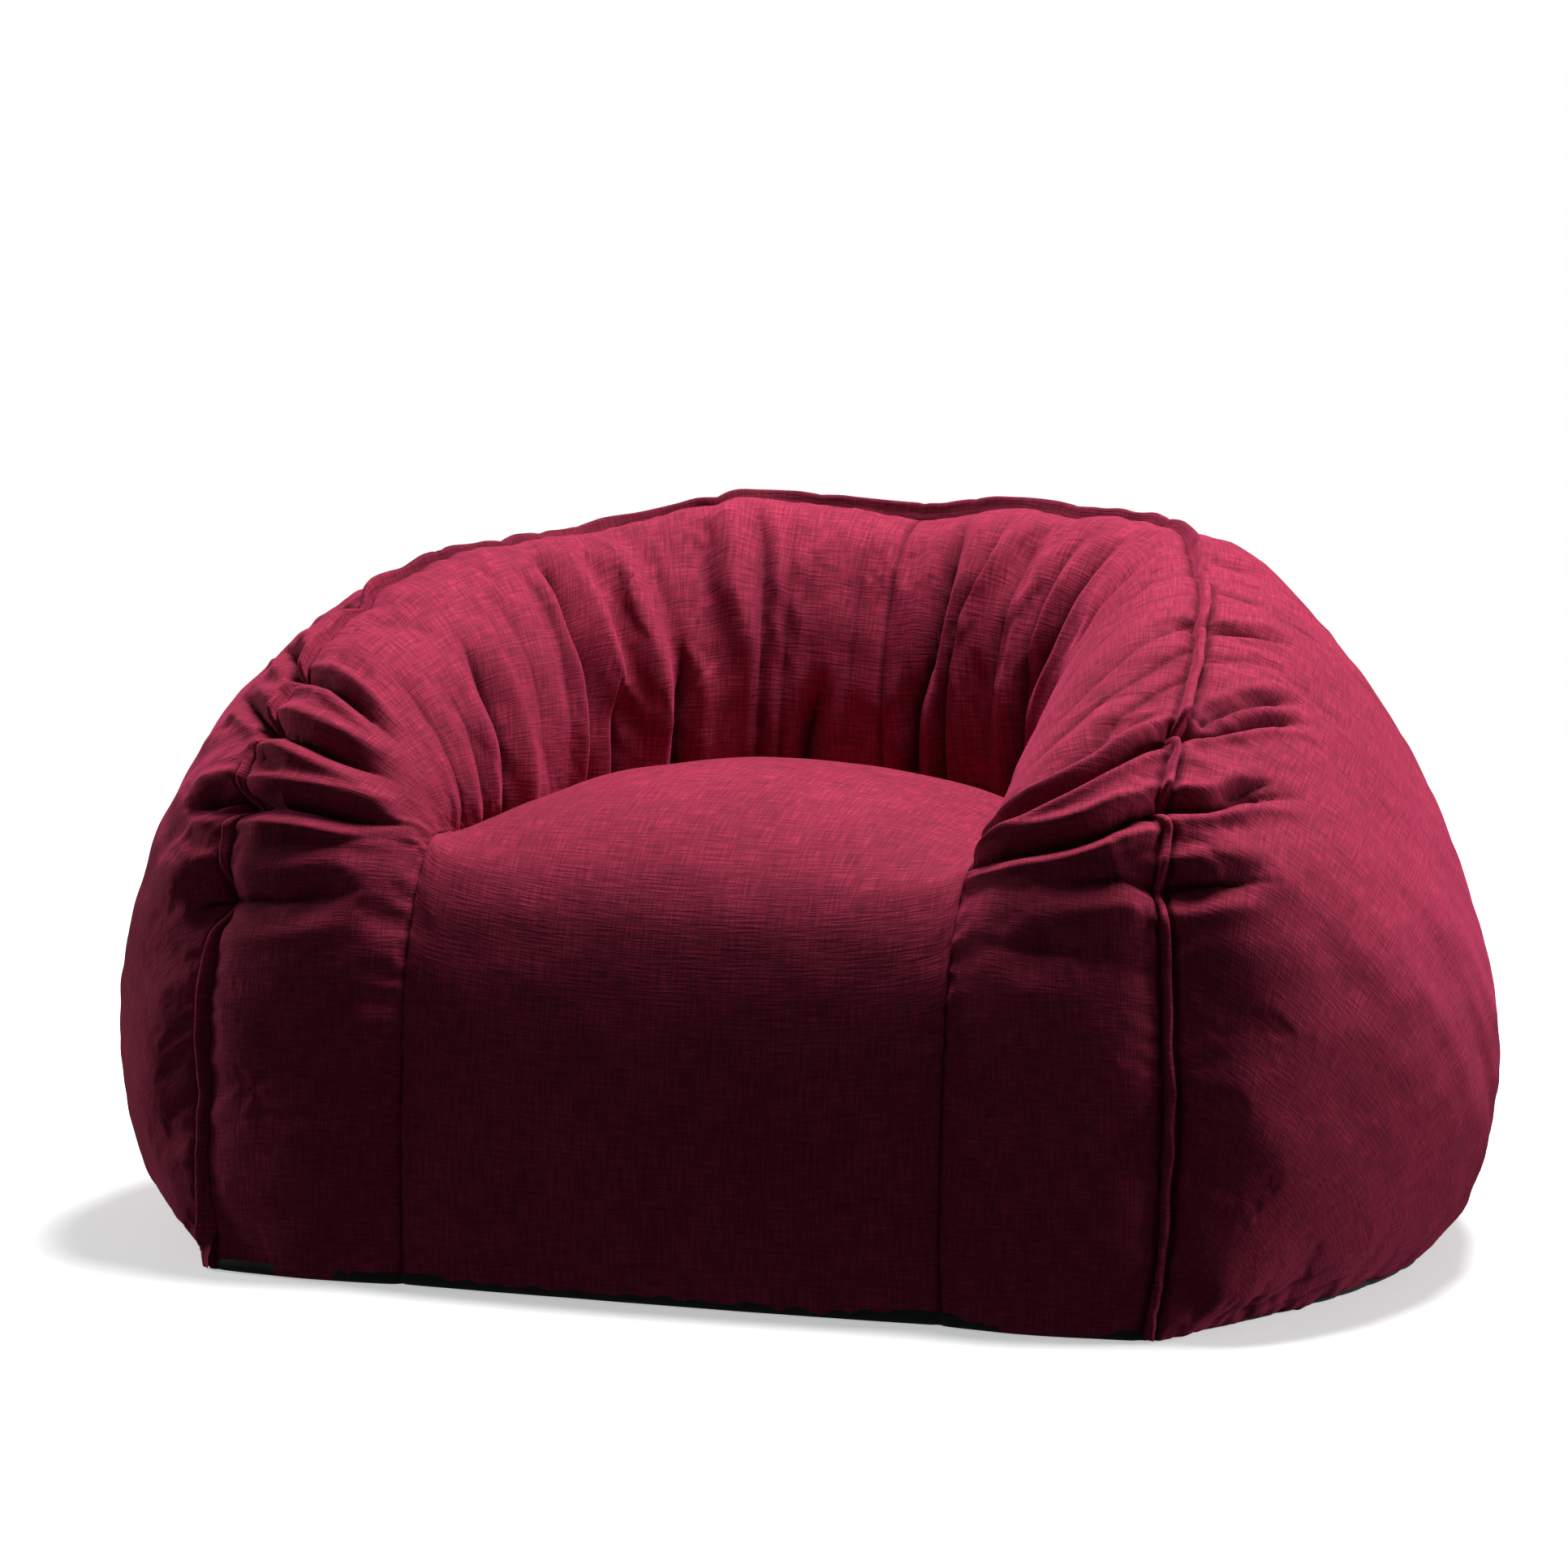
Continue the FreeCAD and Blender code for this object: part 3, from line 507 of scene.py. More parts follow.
# how many small gathers run round the foot seam, and the half width of each as a share
FOOT_GATHERS, GATHER_WIDTH = 46, 0.0035
# where the outer back is sewn to the two outer sides
OUTER_SEAM_SHARES = (0.303, 0.697)


def fade_in(values, low, high):
    way = np.clip((values - low) / (high - low), 0, 1)
    return way * way * (3 - 2 * way)


# painted shade reaches this far from a fold's line, and is full in folds this deep in mm
PAINTED_SHADE_WIDTH, PAINTED_SHADE_DEPTH = 0.005, 13
# a fold moves the cloth up to this many metres away for each mm of its half width, taken as at least 4
FOLD_REACH, FOLD_LEAST = 0.006, 4


def path_points(line, points):
    """The 3-D line of a fold, read off the shaped grid."""
    rows, columns = points.shape[:2]
    fine = smooth_curve(line, np.linspace(0, 1, 40))
    row = np.clip(fine[:, 0], 0, 1) * (rows - 1)
    column = np.clip(fine[:, 1], 0, 1) * (columns - 1)
    r, c = np.minimum(row.astype(int), rows - 2), np.minimum(column.astype(int), columns - 2)
    fr, fc = (row - r)[:, None], (column - c)[:, None]
    near = points[r, c] * (1 - fc) + points[r, c + 1] * fc
    far = points[r + 1, c] * (1 - fc) + points[r + 1, c + 1] * fc
    return near * (1 - fr) + far * fr


def distance_to(path, spots):
    """Distance from each spot to a line of points, and where along the line it is nearest."""
    best = np.full(len(spots), 1e9)
    where = np.zeros(len(spots))
    legs = len(path) - 1
    for k in range(legs):
        start, leg = path[k], path[k + 1] - path[k]
        way = np.clip(((spots - start) @ leg) / max(leg @ leg, 1e-12), 0, 1)
        away = np.linalg.norm(spots - start - way[:, None] * leg, axis=1)
        closer = away < best
        best[closer] = away[closer]
        where[closer] = (k + way[closer]) / legs
    return best, where


def crease(ratio):
    """A sharp valley between two soft swellings, at distances in half widths."""
    shape = 0.62 * np.exp(-ratio / 0.5) + 0.38 * bell(ratio, 1.8)
    return shape - 0.24 * bell(ratio - 3.0, 1.2)


def ridge(ratio):
    """A rounded hump between two shallow valleys, at distances in half widths."""
    return bell(ratio, 1.1) - 0.25 * bell(ratio - 2.2, 0.8)


def fold_depths(points, folds):
    """How far each grid point moves inwards for a list of folds, and how much painted shade it gets.
    """
    flat = points.reshape(-1, 3)
    total, painted_shade = np.zeros(len(flat)), np.zeros(len(flat))
    for line, depth, width in folds:
        path = path_points(line, points)
        reach = FOLD_REACH * max(width, FOLD_LEAST)
        low, high = path.min(0) - reach, path.max(0) + reach
        near = np.flatnonzero(np.all((flat > low) & (flat < high), axis=1))
        if not len(near):
            continue
        away, where = distance_to(path, flat[near])
        half = width / 1000
        starts_at_seam = line[0][1] < 0.04 or line[0][1] > 0.96
        runs_into_seat = line[-1][1] > 0.88
        start = 1.0 if starts_at_seam else fade_in(where, 0, 0.35)
        finish = 1.0 if runs_into_seat else fade_in(1 - where, 0, 0.45)
        strength = start * finish
        ratio = away / half
        total[near] += depth / 1000 * strength * (crease(ratio) if depth > 0 else ridge(ratio))
        # painted shade along the line of each sewn-in fold, stronger in deeper folds
        if depth > 0:
            fold_painted_shade = strength * np.exp(-away / PAINTED_SHADE_WIDTH) * min(depth / PAINTED_SHADE_DEPTH, 1)
            painted_shade[near] = np.maximum(painted_shade[near], fold_painted_shade)
    return total.reshape(points.shape[:2]), painted_shade.reshape(points.shape[:2])


def rolling_noise(points, size, seed):
    """Soft seeded bumps between -1 and 1: a sum of waves in fixed random directions."""
    draw = np.random.default_rng(seed)
    total = np.zeros(points.shape[:-1])
    waves = 14
    for _ in range(waves):
        way = unit(draw.normal(size=3))
        length = size * draw.uniform(0.6, 1.7)
        total += np.sin(points @ way * (2 * math.pi / length) + draw.uniform(0, 2 * math.pi))
    return total / math.sqrt(waves)


# ---- the cover's panels

# surface, grid counts along and across, and where the across run starts
SURFACES = {
    "seat": (seat_surface, 110, 51, -1.0),
    "band": (band_surface, 341, 57, 0.0),
    "outer": (outer_surface, 331, 77, 0.0),
}
BODY_CENTRE = np.array([0.0, -0.02, 0.15])
SEAM_DIP = 0.0022
SEAM_WIDTH = 0.004
# half width of the painted shade along the seams
SEAM_PAINTED_SHADE_WIDTH = 0.003
ROLL_SIZE = 0.16
ROLL_HEIGHT = 0.0022
# the shallow gutter beside the rim seam: depth, distance from the seam and half width
RIM_GUTTER, RIM_GUTTER_AT, RIM_GUTTER_WIDTH = 0.0025, 0.006, 0.0045
# how much of the rolling bumps and of the cloth's wrinkles each surface shows
SMOOTHNESS = {"seat": 0.3, "band": 0.7, "outer": 1.0}
WRINKLE_SHARE = {"seat": 0.25, "band": 0.55, "outer": 0.8}

coarse = {}
for name, (surface, long_count, cross_count, low) in SURFACES.items():
    points, share, across = grid_of(surface, long_count, cross_count, low)
    normals = grid_normals(points, 1)
    way_out = np.sign(np.sum(normals * (points - BODY_CENTRE)))
    coarse[name] = (points, share, across, way_out)

shaped = inflate({name: (parts[0], parts[3]) for name, parts in coarse.items()})


def seam_groove(away):
    return SEAM_DIP * bell(away, SEAM_WIDTH)


def foot_gathers(share, up, seed):
    draw = np.random.default_rng(seed)
    total = np.zeros(share.shape)
    for k in range(FOOT_GATHERS):
        at = 0.03 + 0.94 * (k + draw.uniform(0.2, 0.8)) / FOOT_GATHERS
        depth, reach = draw.uniform(0.002, 0.005), draw.uniform(0.05, 0.13)
        lean = draw.uniform(-0.04, 0.04)
        line = bell(share - at - lean * up, GATHER_WIDTH)
        total += depth * line * bell(up, reach)
    return total


# the zip's seat: a cone round the foot of the back
ZIP_CENTRE_Y, ZIP_HEIGHT, ZIP_RADIUS = -0.148, 0.042, 0.591
ZIP_SLOPE = math.radians(30)
ZIP_TURN = math.radians(44.5)
ZIP_SLIT = 0.0065
COVER_PROUD = 0.0012
SEAT_TURN, SEAT_TURN_END = math.radians(57.5), math.radians(66)
SEAT_REACH, SEAT_REACH_END = 0.024, 0.06


def zip_place(points):
    """Turn round the zip's axis, distance out of its cone and place up its slope."""
    x, y = points[..., 0], points[..., 1] - ZIP_CENTRE_Y
    radius, height = np.hypot(x, y) - ZIP_RADIUS, points[..., 2] - ZIP_HEIGHT
    out = radius * math.cos(ZIP_SLOPE) - height * math.sin(ZIP_SLOPE)
    along = radius * math.sin(ZIP_SLOPE) + height * math.cos(ZIP_SLOPE)
    return np.arctan2(-x, y), out, along


def from_zip_place(turn, out, along):
    radius = ZIP_RADIUS + out * math.cos(ZIP_SLOPE) + along * math.sin(ZIP_SLOPE)
    height = ZIP_HEIGHT - out * math.sin(ZIP_SLOPE) + along * math.cos(ZIP_SLOPE)
    return np.stack(
        [-radius * np.sin(turn), ZIP_CENTRE_Y + radius * np.cos(turn), height], axis=-1
    )


def seat_for_zip(points):
    """Lays the foot of the back on the zip's cone, and opens the slit along it."""
    turn, out, along = zip_place(points)
    weight = 1 - fade_in(np.abs(turn), SEAT_TURN, SEAT_TURN_END)
    weight = weight * (1 - fade_in(np.abs(along), SEAT_REACH, SEAT_REACH_END))
    weight = np.where(points[..., 1] > ZIP_CENTRE_Y, weight, 0)
    out = out + (COVER_PROUD - out) * weight
    in_slit = (np.abs(along) < ZIP_SLIT) & (np.abs(turn) < ZIP_TURN)
    held = np.where(in_slit, np.where(along < 0, -ZIP_SLIT, ZIP_SLIT), along)
    held = np.where(weight > 0.5, held, along)
    return np.where(weight[..., None] > 0, from_zip_place(turn, out, held), points), in_slit


def cloth_runs(points):
    """Metres of cloth along and across a grid."""
    middle = points[:, points.shape[1] // 2]
    run = np.r_[0, np.cumsum(np.linalg.norm(np.diff(middle, axis=0), axis=1))]
    centre = points[points.shape[0] // 2]
    rise = np.r_[0, np.cumsum(np.linalg.norm(np.diff(centre, axis=0), axis=1))]
    return np.stack(np.broadcast_arrays(run[:, None], rise[None, :]), axis=-1)


# seams move the cloth beside them over this width
SEAM_BLEND = 0.022
# metres round the chair for one whole share
SHARE_LENGTH = 2.6
# the point that the rim is drawn towards at its tucks
PULL_CENTRE = np.array([0, -0.15, 0.25])
FOLDS = {
    name: [([(s / 1000, a / 100) for s, a in line], depth, width) for line, depth, width in folds]
    for name, folds in (("band", BAND_FOLDS), ("outer", OUTER_FOLDS), ("seat", []))
}
SEAT_CORE = np.array([0.0, -0.19, 0.15])


def edge_fade(points, column):
    """1 at one long edge of a grid, fading to 0 across the cloth beside it."""
    steps = np.linalg.norm(np.diff(points, axis=1), axis=2)
    from_first = np.concatenate([np.zeros((len(points), 1)), np.cumsum(steps, axis=1)], axis=1)
    away = from_first if column == 0 else from_first[:, -1:] - from_first
    return bell(away, SEAM_BLEND)[..., None], away


def held_at(moves, points, column, wanted):
    """Moves changed so that one long edge moves as wanted, and the cloth beside it follows."""
    weight, _ = edge_fade(points, column)
    return moves + (wanted - moves[:, column])[:, None] * weight


fine, moves, painted_shade_by_panel = {}, {}, {}
for name, (_, share, across, way_out) in coarse.items():
    points = finer_grid(shaped[name])
    share, across = finer_grid(share), finer_grid(across)
    normals = grid_normals(blurred(points, 3), way_out)
    depth, painted_shade = fold_depths(points, FOLDS[name])
    seams = {"band": (0.5,), "outer": OUTER_SEAM_SHARES, "seat": ()}[name]
    for seam in seams:
        away = np.abs(share - seam) * SHARE_LENGTH
        depth += seam_groove(away)
        # painted shade along the seams between panels
        painted_shade = np.maximum(painted_shade, 0.6 * bell(away, SEAM_PAINTED_SHADE_WIDTH))
    if name == "outer":
        depth += foot_gathers(share, across, 5)
    roll = rolling_noise(points, ROLL_SIZE, 11) + 0.4 * rolling_noise(points, ROLL_SIZE / 3, 12)
    from_edge = 1 - np.abs(across) if name == "seat" else 1 - np.abs(2 * across - 1)
    roll *= ROLL_HEIGHT * SMOOTHNESS[name] * fade_in(from_edge, 0, 0.06)
    moves[name] = normals * (roll - depth)[..., None]
    fine[name] = (points, share, across, normals, way_out)
    painted_shade_by_panel[name] = painted_shade

# both sides of the rim move alike, and both sides of the seat seam stay still
band_places = np.linspace(0, 1, len(moves["band"]))
outer_places = np.linspace(0, 1, len(moves["outer"]))
band_rim, outer_rim = moves["band"][:, 0], moves["outer"][:, -1]

band_wanted = 0.5 * (band_rim + at_places(outer_rim, outer_places, band_places))
outer_wanted = 0.5 * (outer_rim + at_places(band_rim, band_places, outer_places))
SEAM_MOVES = [
    ("band", 0, band_wanted),
    ("band", -1, 0.0),
    ("outer", -1, outer_wanted),
    ("seat", 0, 0.0),
    ("seat", -1, 0.0),
]
for name, column, wanted in SEAM_MOVES:
    moves[name] = held_at(moves[name], fine[name][0], column, wanted)

for name, (points, share, across, normals, way_out) in fine.items():
    grooves = [(-1, SEAT_CORE)] if name != "outer" else []
    if name == "seat":
        grooves.append((0, SEAT_CORE))
    shift = np.zeros(points.shape)
    for column, core in grooves:
        _, away = edge_fade(points, column)
        # painted shade along the seat seam's crease
        beside = 0.55 * bell(away, SEAM_PAINTED_SHADE_WIDTH)
        painted_shade_by_panel[name] = np.maximum(painted_shade_by_panel[name], beside)
        shift += unit(core - points) * seam_groove(away)[..., None]
    if name != "seat":
        _, away = edge_fade(points, 0 if name == "band" else -1)
        beside = bell(away - RIM_GUTTER_AT, RIM_GUTTER_WIDTH)
        shift -= normals * (RIM_GUTTER * beside)[..., None]
        # painted shade in the gutter beside the rim
        painted_shade_by_panel[name] = np.maximum(painted_shade_by_panel[name], 0.75 * beside)
        near_rim = np.clip(1 - across if name == "band" else across, 0, 1) ** 8
        inwards = unit(PULL_CENTRE - points) * (1, 1, 0.6)
        shift += inwards * (pulled_in(share) * near_rim)[..., None]
    placed = points + moves[name] + shift
    placed[..., 2] = np.maximum(placed[..., 2], FLOOR_GAP)
    fine[name] = (placed, share, across, normals, way_out)


def cover_piece(name, source, keep, nodes, skip=None):
    """One panel of the cover, cut out of its surface between two shares."""
    points, _, _, _, way_out = fine[source]
    first, last = (round(share * (len(points) - 1)) for share in keep)
    part = points[first : last + 1]
    faces = grid_faces(part.shape[0], part.shape[1], way_out < 0)
    if skip is not None:
        inside = skip[first : last + 1].ravel()
        faces = faces[~np.all(inside[faces], axis=1)]
    runs = cloth_runs(points)[first : last + 1]
    piece = make_mesh(name, part, faces, runs, painted_shade_by_panel[source][first : last + 1])
    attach(piece, "bag")
    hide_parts(*nodes)
    return piece


outer_points, slit = seat_for_zip(fine["outer"][0])
outer_points[..., 2] = np.maximum(outer_points[..., 2], FLOOR_GAP)
fine["outer"] = (outer_points,) + fine["outer"][1:]

cover = [
    cover_piece("seat_front", "seat", (0, 1), ["seat_front_panel"]),
    cover_piece("inner_left", "band", (0, 0.5), ["inner_band_left"]),
    cover_piece("inner_right", "band", (0.5, 1), ["inner_band_right"]),
    cover_piece("outer_left", "outer", (0, OUTER_SEAM_SHARES[0]), ["outer_side_left"]),
    cover_piece("outer_rear", "outer", OUTER_SEAM_SHARES, ["outer_back"], slit),
    cover_piece("outer_right", "outer", (OUTER_SEAM_SHARES[1], 1), ["outer_side_right"]),
]


# ---- the raised rim seam

WELT_HEIGHT, WELT_HALF = 0.01, 0.0034
# half of the fin's section, in half widths and heights, from one foot to the top
WELT_HALF_SECTION = [
    (-1.7, -0.45), (-1.25, 0.0), (-0.85, 0.35), (-0.95, 0.72), (-0.65, 0.95), (0.0, 1.04),
]
WELT_WAVES = 70
# the fin is painted dark with shade round the top of the back
WELT_PAINTED_SHADE = 0.55
WELT_PAINTED_SHADE_FROM_TO = [0.24, 0.29, 0.6, 0.68]


def welt():
    """A pinched fin of cloth along the rim, waving where the tucks end in it."""
    rim = fine["outer"][0][:, -1]
    share = fine["outer"][1][:, -1]
    band_rows = np.linspace(0, 1, len(fine["band"][0]))
    outwards = blurred(fine["outer"][3], 6)[:, -4]
    inner = blurred(fine["band"][3], 6)[:, 4]
    inwards = at_places(inner, band_rows, share)
    rise = unit(unit(outwards) + unit(inwards))
    for _ in range(30):
        rise[1:-1] = (rise[:-2] + 2 * rise[1:-1] + rise[2:]) / 4
    rise = unit(rise)
    line = unit(np.gradient(rim, axis=0))
    side = unit(np.cross(line, rise))
    draw = np.random.default_rng(21)
    height = np.full(len(rim), WELT_HEIGHT)
    lean = np.zeros(len(rim))
    for _ in range(WELT_WAVES):
        at, width = draw.uniform(0, 1), draw.uniform(0.003, 0.01)
        hump = bell(share - at, width)
        height += draw.uniform(-0.0018, 0.0022) * hump
        lean += draw.uniform(-0.0022, 0.0022) * hump
    for at, amount, width in RIM_PULLS:
        hump = bell(share - at, 0.6 * width)
        height -= 0.18 * amount * hump
        lean += 0.2 * amount * hump
    section = WELT_HALF_SECTION + [(-across, up) for across, up in WELT_HALF_SECTION[-2::-1]]
    rows = []
    for across, up in section:
        tip = max(up, 0)
        sideways = across * WELT_HALF + lean * tip
        rows.append(rim + side * sideways[:, None] + rise * (height * up)[:, None])
    points = np.stack(rows, axis=1)
    points[..., 2] = np.maximum(points[..., 2], FLOOR_GAP)
    faces = grid_faces(len(rim), len(section), False)
    runs = cloth_runs(points)
    # painted shade on the fin round the top of the back
    fin_painted_shade = WELT_PAINTED_SHADE * np.interp(share, WELT_PAINTED_SHADE_FROM_TO, [0, 1, 1, 0])
    painted_shade = np.repeat(fin_painted_shade[:, None], len(section), axis=1)
    piece = make_mesh("rim_seam", points, faces, runs, painted_shade)
    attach(piece, "bag")
    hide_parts("rim_welt")
    return piece


rim_seam = welt()

# ---- the base cloth

BASE_RISE_FRONT, BASE_RISE = 0.013, 0.005


def base_cloth():
    """The dark cloth under the chair, turned up a little round its edge."""
    band, seat, outer = (fine[k][0] for k in ("band", "seat", "outer"))
    front = np.concatenate([band[0, :], seat[0, 1:-1], band[-1, ::-1]])
    ring = np.concatenate([front, outer[-2:0:-1, 0]])
    centre = np.array([0.0, -0.05, 0.0])
    on_front = np.zeros(len(ring))
    on_front[: len(front)] = np.sin(np.linspace(0, math.pi, len(front))) ** 0.35
    rise = BASE_RISE + (BASE_RISE_FRONT - BASE_RISE) * on_front
    run = np.linspace(0, 40, len(ring))
    rise = rise * (1 + 0.12 * np.sin(run) + 0.08 * np.sin(2.7 * run))
    level = ring * (1, 1, 0)
    away = unit(level - centre)
    rows = []
    for proud, up in ((-0.0015, 1.0), (0.0012, 0.9), (0.0015, 0.5), (0.0, 0.08)):
        rows.append(level + away * proud + np.outer(rise * up, (0, 0, 1)))
    for shrink in (0.985, 0.9, 0.7, 0.4, 0.12, 0.004):
        rows.append(centre + (level - centre) * shrink + np.array([0, 0, 0.0004]))
    points = np.stack(rows, axis=1)
    points[..., 2] = np.maximum(points[..., 2], 0)
    points = np.concatenate([points, points[:1]])
    faces = grid_faces(len(points), len(rows), False)
    return make_mesh("base_cloth", points, faces, points[..., :2])


base = base_cloth()
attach(base, "bag")
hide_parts("base_panel")

# ---- what is inside the cover

INSIDE_VOXEL = 0.012
# the bags are the cover's own sections, shrunk to these shares so that they stay under the deep tucks
LINER_KEEP, BEADS_KEEP = 0.74, 0.68
PARTITION_HALF = 0.002


def closed_rows(rows):
    """Rings of points joined into a tube, its two ends gathered to their middles."""
    ends = [np.repeat(rows[k].mean(axis=0, keepdims=True), rows.shape[1], 0) for k in (0, -1)]
    return np.concatenate([ends[0][None], rows, ends[1][None]])


def ring_faces(row_count, ring_count):
    index = np.arange(row_count * ring_count).reshape(row_count, ring_count)
    turned = np.roll(index, -1, axis=1)
    corners = [index[:-1], turned[:-1], turned[1:], index[1:]]
    return np.stack(corners, axis=-1).reshape(-1, 4)


def back_bag(keep):
    """The horseshoe bag of the arms and back: shrunk sections between the cover's two sides."""
    share, up = np.meshgrid(np.linspace(0.17, 0.83, 120), np.linspace(0.02, 1, 26), indexing="ij")
    loops = np.concatenate([outer_surface(share, up), band_surface(share, up)], axis=1)
    wall = loops[:, -1:] * (1, 1, 0)
    loops = np.concatenate([loops, loops[:, -1:] * (1, 1, 0.5), wall], axis=1)
    middle = loops.mean(axis=1, keepdims=True)
    return closed_rows(middle + (loops - middle) * keep)


def seat_bag(keep):
    """The block bag under the seat: its crown, its sides and its flat foot."""
    share, across = np.meshgrid(np.linspace(0, 1, 60), np.linspace(-1, 1, 40), indexing="ij")
    crown = seat_surface(share, across * 0.98)
    foot = crown[:, ::-1] * (1, 1, 0)
    loops = np.concatenate([crown, foot], axis=1)
    return closed_rows(SEAT_CORE + (loops - SEAT_CORE) * keep)


def inside_bag(node, name, rows, foot_height, wrinkle):
    """A soft closed bag inside the cover, remeshed, rounded and stood on its foot."""
    raw = make_mesh(name, rows, ring_faces(*rows.shape[:2]))
    remesh = raw.modifiers.new("Remesh", "REMESH")
    remesh.mode, remesh.voxel_size = "VOXEL", INSIDE_VOXEL
    soften = raw.modifiers.new("Smooth", "SMOOTH")
    soften.factor, soften.iterations = 0.5, 12
    graph = bpy.context.evaluated_depsgraph_get()
    mesh = bpy.data.meshes.new_from_object(raw.evaluated_get(graph))
    raw.modifiers.clear()
    raw.data = mesh
    mesh.name = name
    spots = np.empty(len(mesh.vertices) * 3, np.float32)
    mesh.vertices.foreach_get("co", spots)
    spots = spots.reshape(-1, 3).astype(float)
    spots += unit(spots - SEAT_CORE) * (wrinkle * rolling_noise(spots, 0.07, 31))[:, None]
    low, high = spots[:, 2].min(), spots[:, 2].max()
    spots[:, 2] = foot_height + (spots[:, 2] - low) * (high - foot_height) / (high - low)
    mesh.vertices.foreach_set("co", spots.astype(np.float32).ravel())
    mesh.update()
    mesh.shade_smooth()
    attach(raw, "bag")
    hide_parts(node)
    return raw


def partition():
    """The lining wall sewn between the two bags."""
    share = np.linspace(0.12, 0.88, 140)
    top = whole_curve(SEAT_POINTS, share)
    top[:, 2] = np.maximum(top[:, 2] - 0.045, 0.02)
    along = unit(np.gradient(top * (1, 1, 0), axis=0))
    side = np.stack([along[:, 1], -along[:, 0], 0 * along[:, 0]], axis=-1)
    down = np.linspace(1, 0, 30)
    rows = []
    for offset in (PARTITION_HALF, -PARTITION_HALF):
        for height in down if offset > 0 else down[::-1]:
            row = top * (1, 1, height) + side * offset
            row[:, 2] = np.maximum(row[:, 2], 0.006)
            rows.append(row)
    points = closed_rows(np.stack(rows, axis=1))
    points += 0.003 * rolling_noise(points, 0.12, 41)[..., None] * (1, 1, 0)
    wall = make_mesh("partition", points, ring_faces(*points.shape[:2]))
    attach(wall, "bag")
    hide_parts("partition_wall")
    return wall


seat_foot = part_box("seat_liner_zip_tape")[1].z
back_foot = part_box("back_liner_zip_tape")[1].z
# the beads stand this much above the foot of their bag
BEADS_UP = 0.004
seat_rows, back_rows = seat_bag(LINER_KEEP), back_bag(LINER_KEEP)
seat_core_rows, back_core_rows = seat_bag(BEADS_KEEP), back_bag(BEADS_KEEP)
inside = [
    inside_bag("seat_liner", "seat_inner_bag", seat_rows, seat_foot, 0.004),
    inside_bag("back_liner", "back_inner_bag", back_rows, back_foot, 0.004),
    inside_bag("seat_fill", "seat_beads", seat_core_rows, seat_foot + BEADS_UP, 0.001),
    inside_bag("back_fill", "back_beads", back_core_rows, back_foot + BEADS_UP, 0.001),
    partition(),
]

# ---- materials


def new_material(name):
    material = bpy.data.materials.new(name)
    material.use_nodes = True
    tree = material.node_tree
    shader = next(n for n in tree.nodes if n.type == "BSDF_PRINCIPLED")
    return material, tree, shader


def add(tree, kind, **values):
    """A node with its inputs and settings given by name."""
    node = tree.nodes.new(kind)
    for key, value in values.items():
        if key in node.inputs:
            node.inputs[key].default_value = value
        else:
            setattr(node, key, value)
    return node


def set_inputs(node, values):
    for key, value in values.items():
        node.inputs[key].default_value = value


def join(tree, *links):
    for start, out, end, into in links:
        tree.links.new(start.outputs[out], end.inputs[into])


def colour_steps(tree, *steps):
    node = tree.nodes.new("ShaderNodeValToRGB")
    ramp_steps = node.color_ramp.elements
    ramp_steps[0].position, ramp_steps[0].color = steps[0][0], steps[0][1] + (1,)
    ramp_steps[1].position, ramp_steps[1].color = steps[-1][0], steps[-1][1] + (1,)
    for place, colour in steps[1:-1]:
        ramp_steps.new(place).color = colour + (1,)
    return node


def math_node(tree, operation, first, second):
    node = add(tree, "ShaderNodeMath", operation=operation)
    for k, source in enumerate((first, second)):
        if isinstance(source, (int, float)):
            node.inputs[k].default_value = source
        else:
            tree.links.new(source, node.inputs[k])
    return node.outputs[0]


def coloured(tree, shader, value, *steps):
    """Colours the shader by a value, through the given steps."""
    colours = colour_steps(tree, *steps)
    tree.links.new(value, colours.inputs["Fac"])
    tree.links.new(colours.outputs["Color"], shader.inputs["Base Color"])


def bumped(tree, shader, height, **values):
    """Gives the shader a bump from a height."""
    bump = add(tree, "ShaderNodeBump", **values)
    tree.links.new(height, bump.inputs["Height"])
    tree.links.new(bump.outputs["Normal"], shader.inputs["Normal"])


def roughened(tree, shader, value, at_zero, at_one):
    """Sets the shader's roughness by a value."""
    rough = add(tree, "ShaderNodeMapRange")
    set_inputs(rough, {"To Min": at_zero, "To Max": at_one})
    tree.links.new(value, rough.inputs["Value"])
    tree.links.new(rough.outputs["Result"], shader.inputs["Roughness"])


THREAD_PITCH = 0.0022
SLUB_LENGTH = 0.03


